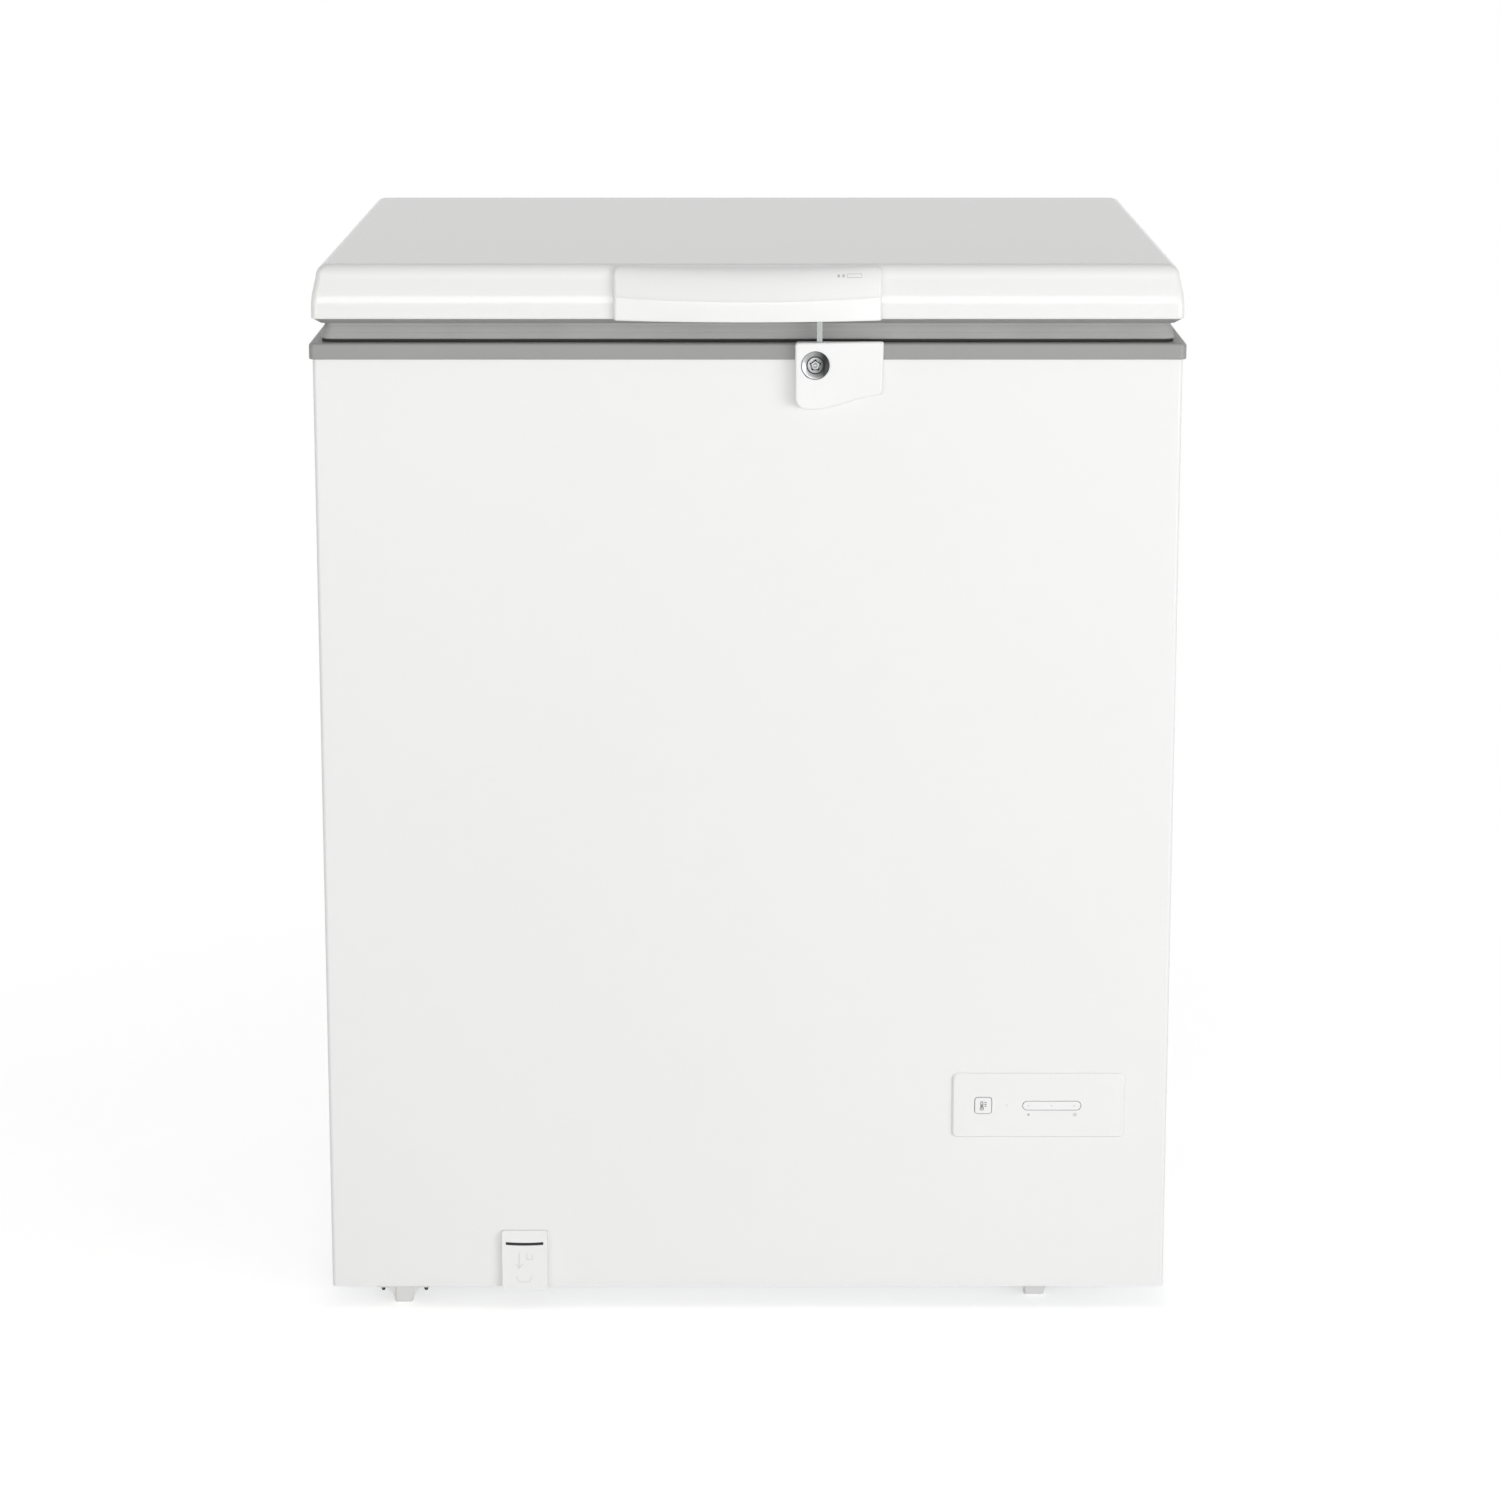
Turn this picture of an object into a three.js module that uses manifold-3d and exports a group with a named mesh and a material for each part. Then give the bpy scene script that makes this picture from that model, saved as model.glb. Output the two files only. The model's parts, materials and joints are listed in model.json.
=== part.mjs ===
// Compact chest freezer, built from the separate parts that it comes apart into.
// Lengths are millimetres. X runs to the right, Y to the back and Z up, and the floor is at Z = 0.
import * as THREE from "three";
import { mergeVertices } from "three/addons/utils/BufferGeometryUtils.js";
import Module from "manifold-3d";

const wasm = await Module();
wasm.setup();

// Main sizes of the cabinet and the lid
const bodyWidth = 755;
const bodyDepth = 610;
const bodyHeight = 848;
const floorGap = 18;
const rimHeight = 14.2;
const rimOverhang = 3;
const gasketHeight = 16.8;
const flangeHeight = 4;
const lidHeight = 47;
const lidSideOverhang = 0.5;
const lidEndOverhang = 2.5;

// Sheets, walls and clearances
const steel = 0.8;
const linerSheet = 0.8;
const wallFoam = 60;
const floorFoam = 64;
const stepFoam = 45;
const fitGap = 0.3;
const overrun = 5;
const weldDistance = 0.001;

// How finely round forms are cut
const cornerSteps = 3;
const roundSides = 12;
const smallSides = 8;
const pipeSides = 6;
const wireSides = 5;

// Cabinet details
const shell = { cornerRadius: 4 };
const bay = { width: 226, height: 232 };
const tub = { cornerRadius: 26, flangeWidth: 25 };
const rim = { plate: 4, innerSkirt: 2.5, cornerRadius: 6 };
const tray = { sheet: 1, flange: 14 };

// Refrigerant tubes
const evaporator = { tubeRadius: 4, depth: 2, turns: 5, topDrop: 60, lowRise: 81, bendRadius: 20 };
evaporator.startInset = 300;
evaporator.dropInset = 218.7;
const condenser = { tubeRadius: 2.5, depth: 12, runs: 6, topDrop: 96, lowRise: 70, bendRadius: 20 };
condenser.leftInset = 47.5;
condenser.rightInset = 97.5;
condenser.inletInset = 37.5;
condenser.outletInset = 87.5;
const pipe = { lift: 22, bend: 34 };

// Compressor and what it stands on
const compressor = { halfLength: 84, halfWidth: 66, height: 150, backInset: 180 };
compressor.plate = 3;
compressor.plateLength = 176;
compressor.plateWidth = 124;
compressor.sink = 2;
compressor.stubOffset = 24;
const compressorShares = [
  [0, 0], [0.86, 0], [0.97, 0.08], [1, 0.3], [1, 0.42], [1.06, 0.42],
  [1.06, 0.47], [1, 0.47], [0.97, 0.72], [0.84, 0.91], [0.6, 1], [0, 1],
];
const grommet = { radius: 11, height: 12, inset: 14 };
const terminal = { width: 48, depth: 22, height: 52, lift: 46 };
const drier = { radius: 9, canHeight: 74, neckRadius: 2.5, neckLength: 26, shoulder: 10 };

// Feet and their screws
const foot = { postDepth: 24, plateWidth: 48, plateDepth: 30, plate: 2.5 };
foot.gussetReach = 16;
foot.gussetThickness = 3;
foot.gussetDrop = 9;
foot.leftPostWidth = 16.6;
foot.rightPostWidth = 18.7;
foot.leftInset = 64.1;
foot.rightInset = 115.5;
foot.leftFrontInset = 19.5;
foot.rightFrontInset = 39;
foot.rearInset = 46;
const footScrew = { spread: 19.5, headRadius: 2.6, headHeight: 2.6, shankRadius: 1.6 };

// Control panel
const panel = { rightInset: 38.5, width: 155, bottom: 160.4, height: 59.8, proud: 3, cornerRadius: 4.5 };
panel.bevel = 1.6;
panel.bossInset = 6;
panel.bossDepth = 9;
panel.wall = 2;
const button = { left: 20.4, low: 23, size: 14.8, proud: 0.6, travel: 1.2, cornerRadius: 2.5 };
button.flange = 2;
button.flangeThickness = 1.2;
const lens = { left: 63.6, low: 26.2, width: 52, height: 7.9, flange: 1.6, flangeThickness: 1 };
lens.proud = 0.2;
const board = { back: 4.6, thickness: 1.6, switchSize: 6, switchHeight: 1 };

// Drain at the front and its plug in the tub floor
const drain = { leftInset: 175.3, height: 40, bore: 7.8, wall: 2, back: 96 };
const spout = { width: 41, height: 57, drop: 3, depth: 6, bevelDepth: 3.6, bevelHeight: 6 };
spout.slotWidth = 34;
spout.slotHeight = 2.3;
spout.slotDrop = 9.7;
spout.slotDepth = 4;
spout.tubeGap = 0.3;
spout.tubeWall = 1.5;
spout.tubeLength = 55;
spout.outlet = 8;
spout.travel = 40;
const spoutOutlineShares = [
  [0, 0.05], [0.2, 0.012], [0.5, 0], [0.8, 0.012], [1, 0.05], [1, 0.985], [0.97, 1], [0.03, 1], [0, 0.985],
];
const plug = { flangeRadius: 13, flangeHeight: 3, stemLength: 16, knobRadius: 4, knobHeight: 8 };

// Vents and the cord entry
const grille = { backInset: 120, width: 190, bottom: 62, height: 150, thickness: 1.6, border: 15 };
grille.slots = 8;
grille.slotHeight = 7;
const cover = { slots: 7, slotHeight: 7, slotPitch: 16, slotInset: 26, slotBottom: 96 };
const gland = { rightInset: 163.5, height: 58, bodyRadius: 7, bore: 4, flangeRadius: 10.5, flange: 3, depth: 8 };

// Lid: the side of its shell from the lower edge to the flat top
const lid = { edgeRound: 2, edgeInset: 1.5, bandTop: 13, shoulderTop: 20, shoulderInset: 1.2 };
lid.faceTop = 36;
lid.faceInset = 4.2;
lid.topInset = 14;
lid.cornerRadius = 6;
lid.sheet = 1.2;
lid.roundSteps = 4;
const underside = { topInset: 2, bottomInset: 6, cornerRadius: 8, plateInset: 4.2 };
underside.plugInset = 45;
underside.plugDepth = 16;
underside.plugRadius = 24;
underside.panelWall = 1.5;
const gasket = { bottomInset: 6.5, topInset: 10, innerInset: 23, edgeRound: 2, cornerRadius: 10 };

// Handle on the lid's front
const handle = { width: 232, endProud: 6, bow: 13, belowLid: 0.5, stepHeight: 19.5, stepSag: 1.4 };
handle.ledge = 2.5;
handle.ledgeRise = 1.5;
handle.topHeight = 43;
handle.topProud = 1.5;
handle.wall = 2.5;
handle.backWall = 2;
handle.pocketHeight = 14.5;
handle.fingerInset = 31;
handle.fingerWidth = 125;
handle.lockInset = 20;
handle.lockWidth = 48;
handle.stations = 8;
const strike = { thickness: 2.5 };

// Lock on the cabinet's front
const lock = { endInset: 57.5, axisInset: 17.5, axisDrop: 3.9, width: 77, rise: 1.8, height: 58.5 };
lock.leftDepth = 14;
lock.rightDepth = 5;
lock.wall = 2;
const lockOutlineShares = [
  [0, 0.21], [0.025, 0.08], [0.1, 0.005], [0.27, 0], [0.49, 0.05], [0.73, 0.145],
  [0.95, 0.2], [0.985, 0.26], [1, 0.96], [0.97, 0.99], [0.04, 1], [0, 0.95],
];
const bezel = { radius: 12.1, lip: 0.8, throatRadius: 6.6, dish: 2.8, depth: 4, front: 12.2 };
const barrel = { radius: 4.15, gap: 1.2, recess: 2, tailRadius: 3, tailGap: 0.6, dimple: 1.9, dimpleDepth: 1.5 };
const lever = { front: 7.6, thickness: 2, hubRadius: 9, armWidth: 4.8, armOffset: 1.3 };
lever.noseHeight = 48;
lever.noseThickness = 3;
lever.noseLength = 9.4;
lever.turn = THREE.MathUtils.degToRad(15);
lever.slotEnds = 1;
lever.slotFront = 2;
lever.slotBack = 0.7;

// Hinges at the back
const hinge = { sideInset: 127.5, setback: 15, rise: 9.8, plate: 2, innerHalf: 12.5, armHalf: 12 };
hinge.pinRadius = 3.5;
hinge.pinHead = 1.6;
hinge.pinHeadRadius = 5.5;
hinge.earRadius = 8;
hinge.drop = 60;
hinge.padTop = 4;
hinge.webDrop = 1;
hinge.holeGap = 0.6;
hinge.armTop = 46;
hinge.tabDrop = 28;
hinge.tabHeight = 10;
const spring = { wireRadius: 1.1, radius: 7, gap: 0.6, turns: 4, stepsPerTurn: 8, legLength: 22 };

// Finishes, with the colours of the real thing
const finishes = {
  whiteSheet: { color: 0xf1f1f0, roughness: 0.42, metalness: 0 },
  whitePlastic: { color: 0xf3f3f2, roughness: 0.35, metalness: 0 },
  greyPlastic: { color: 0x9c9c9a, roughness: 0.5, metalness: 0 },
  greyRubber: { color: 0x979796, roughness: 0.7, metalness: 0 },
  darkRubber: { color: 0x2a2a2a, roughness: 0.8, metalness: 0 },
  linerMetal: { color: 0xc9ccce, roughness: 0.35, metalness: 1 },
  zincSteel: { color: 0xb9bcbf, roughness: 0.45, metalness: 1 },
  darkSteel: { color: 0x3a3b3d, roughness: 0.5, metalness: 1 },
  chrome: { color: 0xd8dadc, roughness: 0.12, metalness: 1 },
  copper: { color: 0xb87548, roughness: 0.4, metalness: 1 },
  blackPaint: { color: 0x1c1d1f, roughness: 0.5, metalness: 0 },
  foam: { color: 0xe6d9a8, roughness: 0.9, metalness: 0 },
  greenBoard: { color: 0x2f6b45, roughness: 0.6, metalness: 0 },
  clearGrey: { color: 0xdcdedf, roughness: 0.2, metalness: 0 },
};

// Heights and faces that follow from the sizes above
const halfWidth = bodyWidth / 2;
const bodyTop = floorGap + bodyHeight;
const rimTop = bodyTop + rimHeight;
const flangeBottom = rimTop + gasketHeight;
const lidBottom = flangeBottom + flangeHeight;
const lidTop = lidBottom + lidHeight;
const skinX = halfWidth - steel;
const backFace = bodyDepth - steel;
const foamX = skinX - fitGap;
const foamFront = steel + fitGap;
const foamBack = backFace - fitGap;
const foamBottom = floorGap + steel + fitGap;
const linerTop = bodyTop + rimHeight - rim.plate - fitGap;
const foamTop = linerTop - linerSheet - fitGap;
const cavityX = foamX - wallFoam;
const cavityFront = foamFront + wallFoam;
const cavityBack = foamBack - wallFoam;
const cavityFloor = foamBottom + floorFoam;
const bayLeft = skinX - bay.width;
const bayTop = floorGap + bay.height;
const sheetFront = shell.cornerRadius + fitGap;
const evaporatorX = cavityX + evaporator.depth + evaporator.tubeRadius;
const evaporatorDrop = cavityBack - evaporator.dropInset;
const condenserBack = foamBack - condenser.depth - condenser.tubeRadius;
const condenserInlet = halfWidth - condenser.inletInset;
const condenserOutlet = halfWidth - condenser.outletInset;
const leftFootX = foot.leftInset - halfWidth;
const rightFootX = halfWidth - foot.rightInset;
const panelLeft = halfWidth - panel.rightInset - panel.width;
const drainX = drain.leftInset - halfWidth;
const glandX = halfWidth - gland.rightInset;
const grilleFront = bodyDepth - grille.backInset - grille.width;
const stepX = bayLeft - stepFoam;
const stepTop = bayTop + stepFoam;
const trayTop = floorGap + tray.sheet;
const handleBottom = lidBottom - handle.belowLid;
const handleEnd = handle.width / 2;
const fingerLeft = handle.fingerInset - handleEnd;
const fingerRight = fingerLeft + handle.fingerWidth;
const lockPocketRight = handleEnd - handle.lockInset;
const lockPocketLeft = lockPocketRight - handle.lockWidth;
const lockX = handleEnd - lock.endInset;
const lockLeft = lockX - lock.axisInset;
const pinBack = bodyDepth + hinge.setback;
const pinHeight = rimTop + hinge.rise;
const frontReach = lidEndOverhang + handle.endProud + handle.bow;
const springReach = spring.radius + spring.wireRadius + fitGap;
const backReach = hinge.setback + springReach + hinge.plate;

// A closed mesh as a solid. A mesh that was drawn inside out is turned round.
function solidFrom(geometry) {
  const bare = geometry.clone();
  bare.deleteAttribute("normal");
  bare.deleteAttribute("uv");
  const merged = mergeVertices(bare, weldDistance);
  const vertProperties = new Float32Array(merged.attributes.position.array);
  const triVerts = new Uint32Array(merged.index.array);
  const solid = new wasm.Manifold(new wasm.Mesh({ numProp: 3, vertProperties, triVerts }));
  if (solid.volume() > 0) {
    return solid;
  }
  triVerts.reverse();
  return new wasm.Manifold(new wasm.Mesh({ numProp: 3, vertProperties, triVerts }));
}

// A named part from a solid, with a material of its own
function piece(name, solid, finish) {
  const { numProp, vertProperties, triVerts } = solid.getMesh();
  const geometry = new THREE.BufferGeometry();
  geometry.setAttribute("position", new THREE.BufferAttribute(vertProperties, numProp));
  geometry.setIndex(new THREE.BufferAttribute(triVerts, 1));
  geometry.computeVertexNormals();
  const material = new THREE.MeshStandardMaterial({ ...finish, flatShading: true });
  const mesh = new THREE.Mesh(geometry, material);
  mesh.name = name;
  return mesh;
}

function join(solids) {
  return solids.reduce((whole, solid) => whole.add(solid));
}

function cut(solid, cutters) {
  return cutters.reduce((rest, cutter) => rest.subtract(cutter), solid);
}

// A straight block between two faces along each axis
function block([left, right], [front, back], [bottom, top]) {
  const geometry = new THREE.BoxGeometry(right - left, back - front, top - bottom);
  geometry.translate((left + right) / 2, (front + back) / 2, (bottom + top) / 2);
  return solidFrom(geometry);
}

// An outline pushed along an axis. Its points are (y, z) along X, (x, z) along Y and (x, y) along Z.
function prism(axis, outline, from, to) {
  const shape = new THREE.Shape(outline.map(([a, b]) => new THREE.Vector2(a, b)));
  const geometry = new THREE.ExtrudeGeometry(shape, { depth: to - from, bevelEnabled: false });
  const right = new THREE.Vector3(1, 0, 0);
  const back = new THREE.Vector3(0, 1, 0);
  const up = new THREE.Vector3(0, 0, 1);
  const front = new THREE.Vector3(0, -1, 0);
  const places = {
    x: new THREE.Matrix4().makeBasis(back, up, right).setPosition(from, 0, 0),
    y: new THREE.Matrix4().makeBasis(right, up, front).setPosition(0, to, 0),
    z: new THREE.Matrix4().makeTranslation(0, 0, from),
  };
  return solidFrom(geometry.applyMatrix4(places[axis]));
}

// Points evenly round a circle
function circle(a, b, radius, sides, startShare = 0) {
  return Array.from({ length: sides }, (_, i) => {
    const angle = 2 * Math.PI * ((i + startShare) / sides);
    return [a + radius * Math.cos(angle), b + radius * Math.sin(angle)];
  });
}

function rod(axis, [a, b], radius, from, to, sides = roundSides) {
  return prism(axis, circle(a, b, radius, sides, 0.5), from, to);
}

// A rectangle with round corners, seen from above or from the front
function roundedOutline([left, right], [low, high], radius, steps = cornerSteps) {
  const corners = [
    [right - radius, low + radius, 3],
    [right - radius, high - radius, 0],
    [left + radius, high - radius, 1],
    [left + radius, low + radius, 2],
  ];
  return corners.flatMap(([a, b, quarter]) =>
    Array.from({ length: steps + 1 }, (_, i) => {
      const angle = (Math.PI / 2) * (quarter + i / steps);
      return [a + radius * Math.cos(angle), b + radius * Math.sin(angle)];
    }),
  );
}

// A profile of (radius, height) points turned round an upright axis or one that runs front to back
function turned(axis, profile, sides, [x, y, z]) {
  const points = profile.map(([radius, height]) => new THREE.Vector2(radius, height));
  const geometry = new THREE.LatheGeometry(points, sides);
  if (axis === "z") {
    geometry.rotateX(Math.PI / 2);
  }
  return solidFrom(geometry.translate(x, y, z));
}

// A closed body through loops of equally many points. flat gives a point's place in the end faces.
function loft(loops, flat) {
  const count = loops[0].length;
  const positions = loops.flat().flatMap((point) => point.toArray());
  const index = [];
  for (let level = 0; level + 1 < loops.length; level += 1) {
    for (let i = 0; i < count; i += 1) {
      const next = (i + 1) % count;
      const a = level * count + i;
      const b = level * count + next;
      index.push(a, b, b + count, a, b + count, a + count);
    }
  }
  const last = (loops.length - 1) * count;
  for (const [a, b, c] of THREE.ShapeUtils.triangulateShape(loops[0].map(flat), [])) {
    index.push(c, b, a);
  }
  for (const [a, b, c] of THREE.ShapeUtils.triangulateShape(loops.at(-1).map(flat), [])) {
    index.push(last + a, last + b, last + c);
  }
  const geometry = new THREE.BufferGeometry();
  geometry.setAttribute("position", new THREE.Float32BufferAttribute(positions, 3));
  geometry.setIndex(index);
  return solidFrom(geometry);
}

// A route through given points, where a tube gets one ring at each point
class Route extends THREE.Curve {
  constructor(points) {
    super();
    this.points = points;
  }

  getPoint(t, target = new THREE.Vector3()) {
    const place = t * (this.points.length - 1);
    const before = Math.min(Math.floor(place), this.points.length - 2);
    return target.lerpVectors(this.points[before], this.points[before + 1], place - before);
  }

  getPointAt(u, target) {
    return this.getPoint(u, target);
  }

  getTangentAt(u, target = new THREE.Vector3()) {
    const last = this.points.length - 1;
    const at = Math.round(u * last);
    const into = this.points[Math.max(at, 1)].clone().sub(this.points[Math.max(at, 1) - 1]);
    const out = this.points[Math.min(at, last - 1) + 1].clone().sub(this.points[Math.min(at, last - 1)]);
    return target.copy(into.normalize()).add(out.normalize()).normalize();
  }
}

function tube(points, radius, sides) {
  const outline = circle(0, 0, radius, sides, 0.5).map(([a, b]) => new THREE.Vector2(a, b));
  const extrudePath = new Route(points);
  const steps = points.length - 1;
  return solidFrom(new THREE.ExtrudeGeometry(new THREE.Shape(outline), { steps, extrudePath }));
}

// The least free distance between two stretches of one tube
function leastGap(points, radius, apart) {
  let least = Infinity;
  for (let i = 0; i < points.length; i += 1) {
    for (let j = i + apart; j < points.length; j += 1) {
      const stretch = new THREE.Line3(points[j - 1], points[j]);
      const near = stretch.closestPointToPoint(points[i], true, new THREE.Vector3());
      least = Math.min(least, near.distanceTo(points[i]));
    }
  }
  return least - 2 * radius;
}

function vector(x, y, z) {
  return new THREE.Vector3(x, y, z);
}

// The cabinet's outline from above, drawn in by an inset
function bodyOutline(inset, radius) {
  return roundedOutline([inset - halfWidth, halfWidth - inset], [inset, bodyDepth - inset], radius);
}

// The tub's space from its floor over the step up to a given height, drawn in by an inset
function tubSpace(inset, top) {
  const radius = tub.cornerRadius - inset;
  const sides = [cavityFront + inset, cavityBack - inset];
  const upper = roundedOutline([inset - cavityX, cavityX - inset], sides, radius);
  const lower = roundedOutline([inset - cavityX, stepX - inset], sides, radius);
  return join([
    prism("z", upper, stepTop + inset, top),
    prism("z", lower, cavityFloor + inset, top),
  ]);
}

// Where the tubes lie in the foam
function evaporatorPoints(end) {
  const { tubeRadius, depth, turns, topDrop, lowRise, bendRadius, startInset } = evaporator;
  const x = evaporatorX;
  const out = depth + tubeRadius;
  const outline = roundedOutline([-x, x], [cavityFront - out, cavityBack + out], tub.cornerRadius + out);
  const perCorner = cornerSteps + 1;
  const fromBackRight = [...outline.slice(perCorner), ...outline.slice(0, perCorner)];
  const top = bodyTop - topDrop;
  const low = bayTop + lowRise;
  const pitch = (top - low) / turns;
  const points = [vector(x, cavityBack - startInset, top)];
  for (let turn = 0; turn < turns; turn += 1) {
    fromBackRight.forEach(([a, b], i) => {
      const share = (Math.floor(i / perCorner) + 0.5) / 4;
      points.push(vector(a, b, top - pitch * (turn + share)));
    });
  }
  const across = bendRadius * (1 - Math.SQRT1_2);
  points.push(vector(x, evaporatorDrop - bendRadius, low));
  points.push(vector(x, evaporatorDrop - across, low - across));
  points.push(vector(x, evaporatorDrop, low - bendRadius));
  points.push(vector(x, evaporatorDrop, end));
  return points;
}

function condenserPoints(end) {
  const { runs, topDrop, lowRise, bendRadius, leftInset, rightInset } = condenser;
  const y = condenserBack;
  const top = bodyTop - topDrop;
  const low = bayTop + lowRise;
  const pitch = (top - low) / (runs - 1);
  const across = bendRadius * (1 - Math.SQRT1_2);
  const points = [
    vector(condenserInlet, y, end),
    vector(condenserInlet, y, top - bendRadius),
    vector(condenserInlet - across, y, top - across),
    vector(condenserInlet - bendRadius, y, top),
  ];
  for (let run = 0; run < runs - 1; run += 1) {
    const side = run % 2 === 0 ? -1 : 1;
    const turnX = side < 0 ? leftInset - halfWidth : halfWidth - rightInset;
    const middle = top - pitch * (run + 0.5);
    for (let i = 0; i < 4; i += 1) {
      const angle = (Math.PI * i) / 3;
      const reach = (pitch / 2) * Math.sin(angle);
      points.push(vector(turnX + side * reach, y, middle + (pitch / 2) * Math.cos(angle)));
    }
  }
  points.push(vector(condenserOutlet - bendRadius, y, low));
  points.push(vector(condenserOutlet - across, y, low - across));
  points.push(vector(condenserOutlet, y, low - bendRadius));
  points.push(vector(condenserOutlet, y, end));
  return points;
}

// Cabinet: the steel skins
function buildShell() {
  const { cornerRadius } = shell;
  const deep = [0, bodyDepth + cornerRadius];
  const outer = roundedOutline([-halfWidth, halfWidth], deep, cornerRadius);
  const inner = roundedOutline([-skinX, skinX], [steel, deep[1] + overrun], cornerRadius - steel);
  const across = [-bodyWidth, bodyWidth];
  const through = [-overrun, steel + overrun];
  const sideThrough = [skinX - overrun, halfWidth + overrun];
  return cut(prism("z", outer, floorGap, linerTop), [
    prism("z", inner, floorGap - overrun, linerTop + overrun),
    block(across, [backFace - fitGap, bodyDepth * 2], [0, lidTop]),
    block(panelBossX(-fitGap), through, panelBossZ(-fitGap)),
    rod("y", [drainX, drain.height], drain.bore + fitGap, ...through),
    rod("y", lockAxis(), barrel.tailRadius + barrel.tailGap, ...through, smallSides),
    block(sideThrough, grilleWindow().across, grilleWindow().up),
  ]);
}

function buildBackPanel() {
  const whole = block([-halfWidth, halfWidth], [backFace, bodyDepth], [floorGap, linerTop]);
  const opening = block(
    [bayLeft - fitGap, halfWidth + overrun],
    [backFace - overrun, bodyDepth + overrun],
    [floorGap - overrun, bayTop + fitGap],
  );
  return whole.subtract(opening);
}

function buildBottomPan() {
  const pan = block([-foamX, bayLeft - fitGap], [sheetFront, foamBack], [floorGap, floorGap + steel]);
  return cut(pan, footScrewHoles(leftFootX));
}

function buildTray() {
  const top = trayTop + tray.flange;
  const outline = [
    [sheetFront, floorGap],
    [foamBack, floorGap],
    [foamBack, top],
    [foamBack - tray.sheet, top],
    [foamBack - tray.sheet, trayTop],
    [sheetFront + tray.sheet, trayTop],
    [sheetFront + tray.sheet, top],
    [sheetFront, top],
  ];
  const bent = prism("x", outline, bayLeft + steel + fitGap, foamX);
  return cut(bent, footScrewHoles(rightFootX));
}

function buildBulkhead() {
  const outline = [
    [bayLeft, floorGap],
    [bayLeft + steel, floorGap],
    [bayLeft + steel, bayTop - steel],
    [foamX, bayTop - steel],
    [foamX, bayTop],
    [bayLeft, bayTop],
  ];
  const height = [bayTop - steel - overrun, bayTop + overrun];
  const gapRadius = condenser.tubeRadius + fitGap;
  return cut(prism("y", outline, sheetFront, foamBack), [
    rod("z", [evaporatorX, evaporatorDrop], evaporator.tubeRadius + fitGap, ...height),
    rod("z", [condenserInlet, condenserBack], gapRadius, ...height, smallSides),
    rod("z", [condenserOutlet, condenserBack], gapRadius, ...height, smallSides),
  ]);
}

// The foam fills all between the skins and the tub, round the tubes and the drain
function buildFoam() {
  const outer = roundedOutline([-foamX, foamX], [foamFront, foamBack], shell.cornerRadius - steel - fitGap, 1);
  const drainRadius = drain.bore + drain.wall + fitGap;
  return cut(prism("z", outer, foamBottom, foamTop), [
    tubSpace(0, foamTop + overrun),
    block([bayLeft - fitGap, bodyWidth], [-bodyDepth, bodyDepth * 2], [0, bayTop + fitGap]),
    tube(evaporatorPoints(bayTop - overrun), evaporator.tubeRadius + fitGap, pipeSides),
    tube(condenserPoints(bayTop - overrun), condenser.tubeRadius + fitGap, pipeSides),
    rod("y", [drainX, drain.height], drainRadius, foamFront - overrun, drain.back),
    rod("z", [drainX, drain.back], drainRadius, drain.height - drainRadius, cavityFloor + overrun),
  ]);
}

function buildLiner() {
  const { flangeWidth, cornerRadius } = tub;
  const flangeOutline = roundedOutline(
    [-cavityX - flangeWidth, cavityX + flangeWidth],
    [cavityFront - flangeWidth, cavityBack + flangeWidth],
    cornerRadius + flangeWidth,
  );
  const body = join([tubSpace(fitGap, linerTop), prism("z", flangeOutline, linerTop - linerSheet, linerTop)]);
  return cut(body, [
    tubSpace(fitGap + linerSheet, linerTop + overrun),
    rod("z", [drainX, drain.back], drain.bore + fitGap, cavityFloor, cavityFloor + overrun),
  ]);
}

function buildRim() {
  const linerInset = fitGap + linerSheet + fitGap;
  const linerSide = halfWidth - cavityX + linerInset;
  const radius = tub.cornerRadius - linerInset;
  const mouth = roundedOutline(
    [linerSide - halfWidth + rim.innerSkirt, halfWidth - linerSide - rim.innerSkirt],
    [cavityFront + linerInset + rim.innerSkirt, cavityBack - linerInset - rim.innerSkirt],
    radius - rim.innerSkirt,
  );
  const skirt = roundedOutline(
    [linerSide - halfWidth, halfWidth - linerSide],
    [cavityFront + linerInset, cavityBack - linerInset],
    radius,
  );
  const channel = prism("z", bodyOutline(-fitGap, fitGap), bodyTop - overrun, rimTop - rim.plate);
  const inside = prism("z", skirt, bodyTop - overrun, rimTop);
  return cut(prism("z", bodyOutline(-rimOverhang, rim.cornerRadius), bodyTop, rimTop), [
    prism("z", mouth, bodyTop - overrun, rimTop + overrun),
    channel.subtract(inside),
  ]);
}

// Feet: a post under a plate with two slanted gussets, held by two screws
function footPlaces() {
  return [
    ["front_left", leftFootX, foot.leftFrontInset, foot.leftPostWidth, steel],
    ["front_right", rightFootX, foot.rightFrontInset, foot.rightPostWidth, tray.sheet],
    ["rear_left", leftFootX, bodyDepth - foot.rearInset, foot.leftPostWidth, steel],
    ["rear_right", rightFootX, bodyDepth - foot.rearInset, foot.rightPostWidth, tray.sheet],
  ];
}

function footScrewHoles(side) {
  const height = [floorGap - overrun, floorGap + overrun];
  return footPlaces()
    .filter(([, x]) => x === side)
    .flatMap(([, x, y]) =>
      [-1, 1].map((turn) =>
        rod("z", [x + turn * footScrew.spread, y], footScrew.shankRadius + fitGap, ...height, smallSides),
      ),
    );
}

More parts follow.
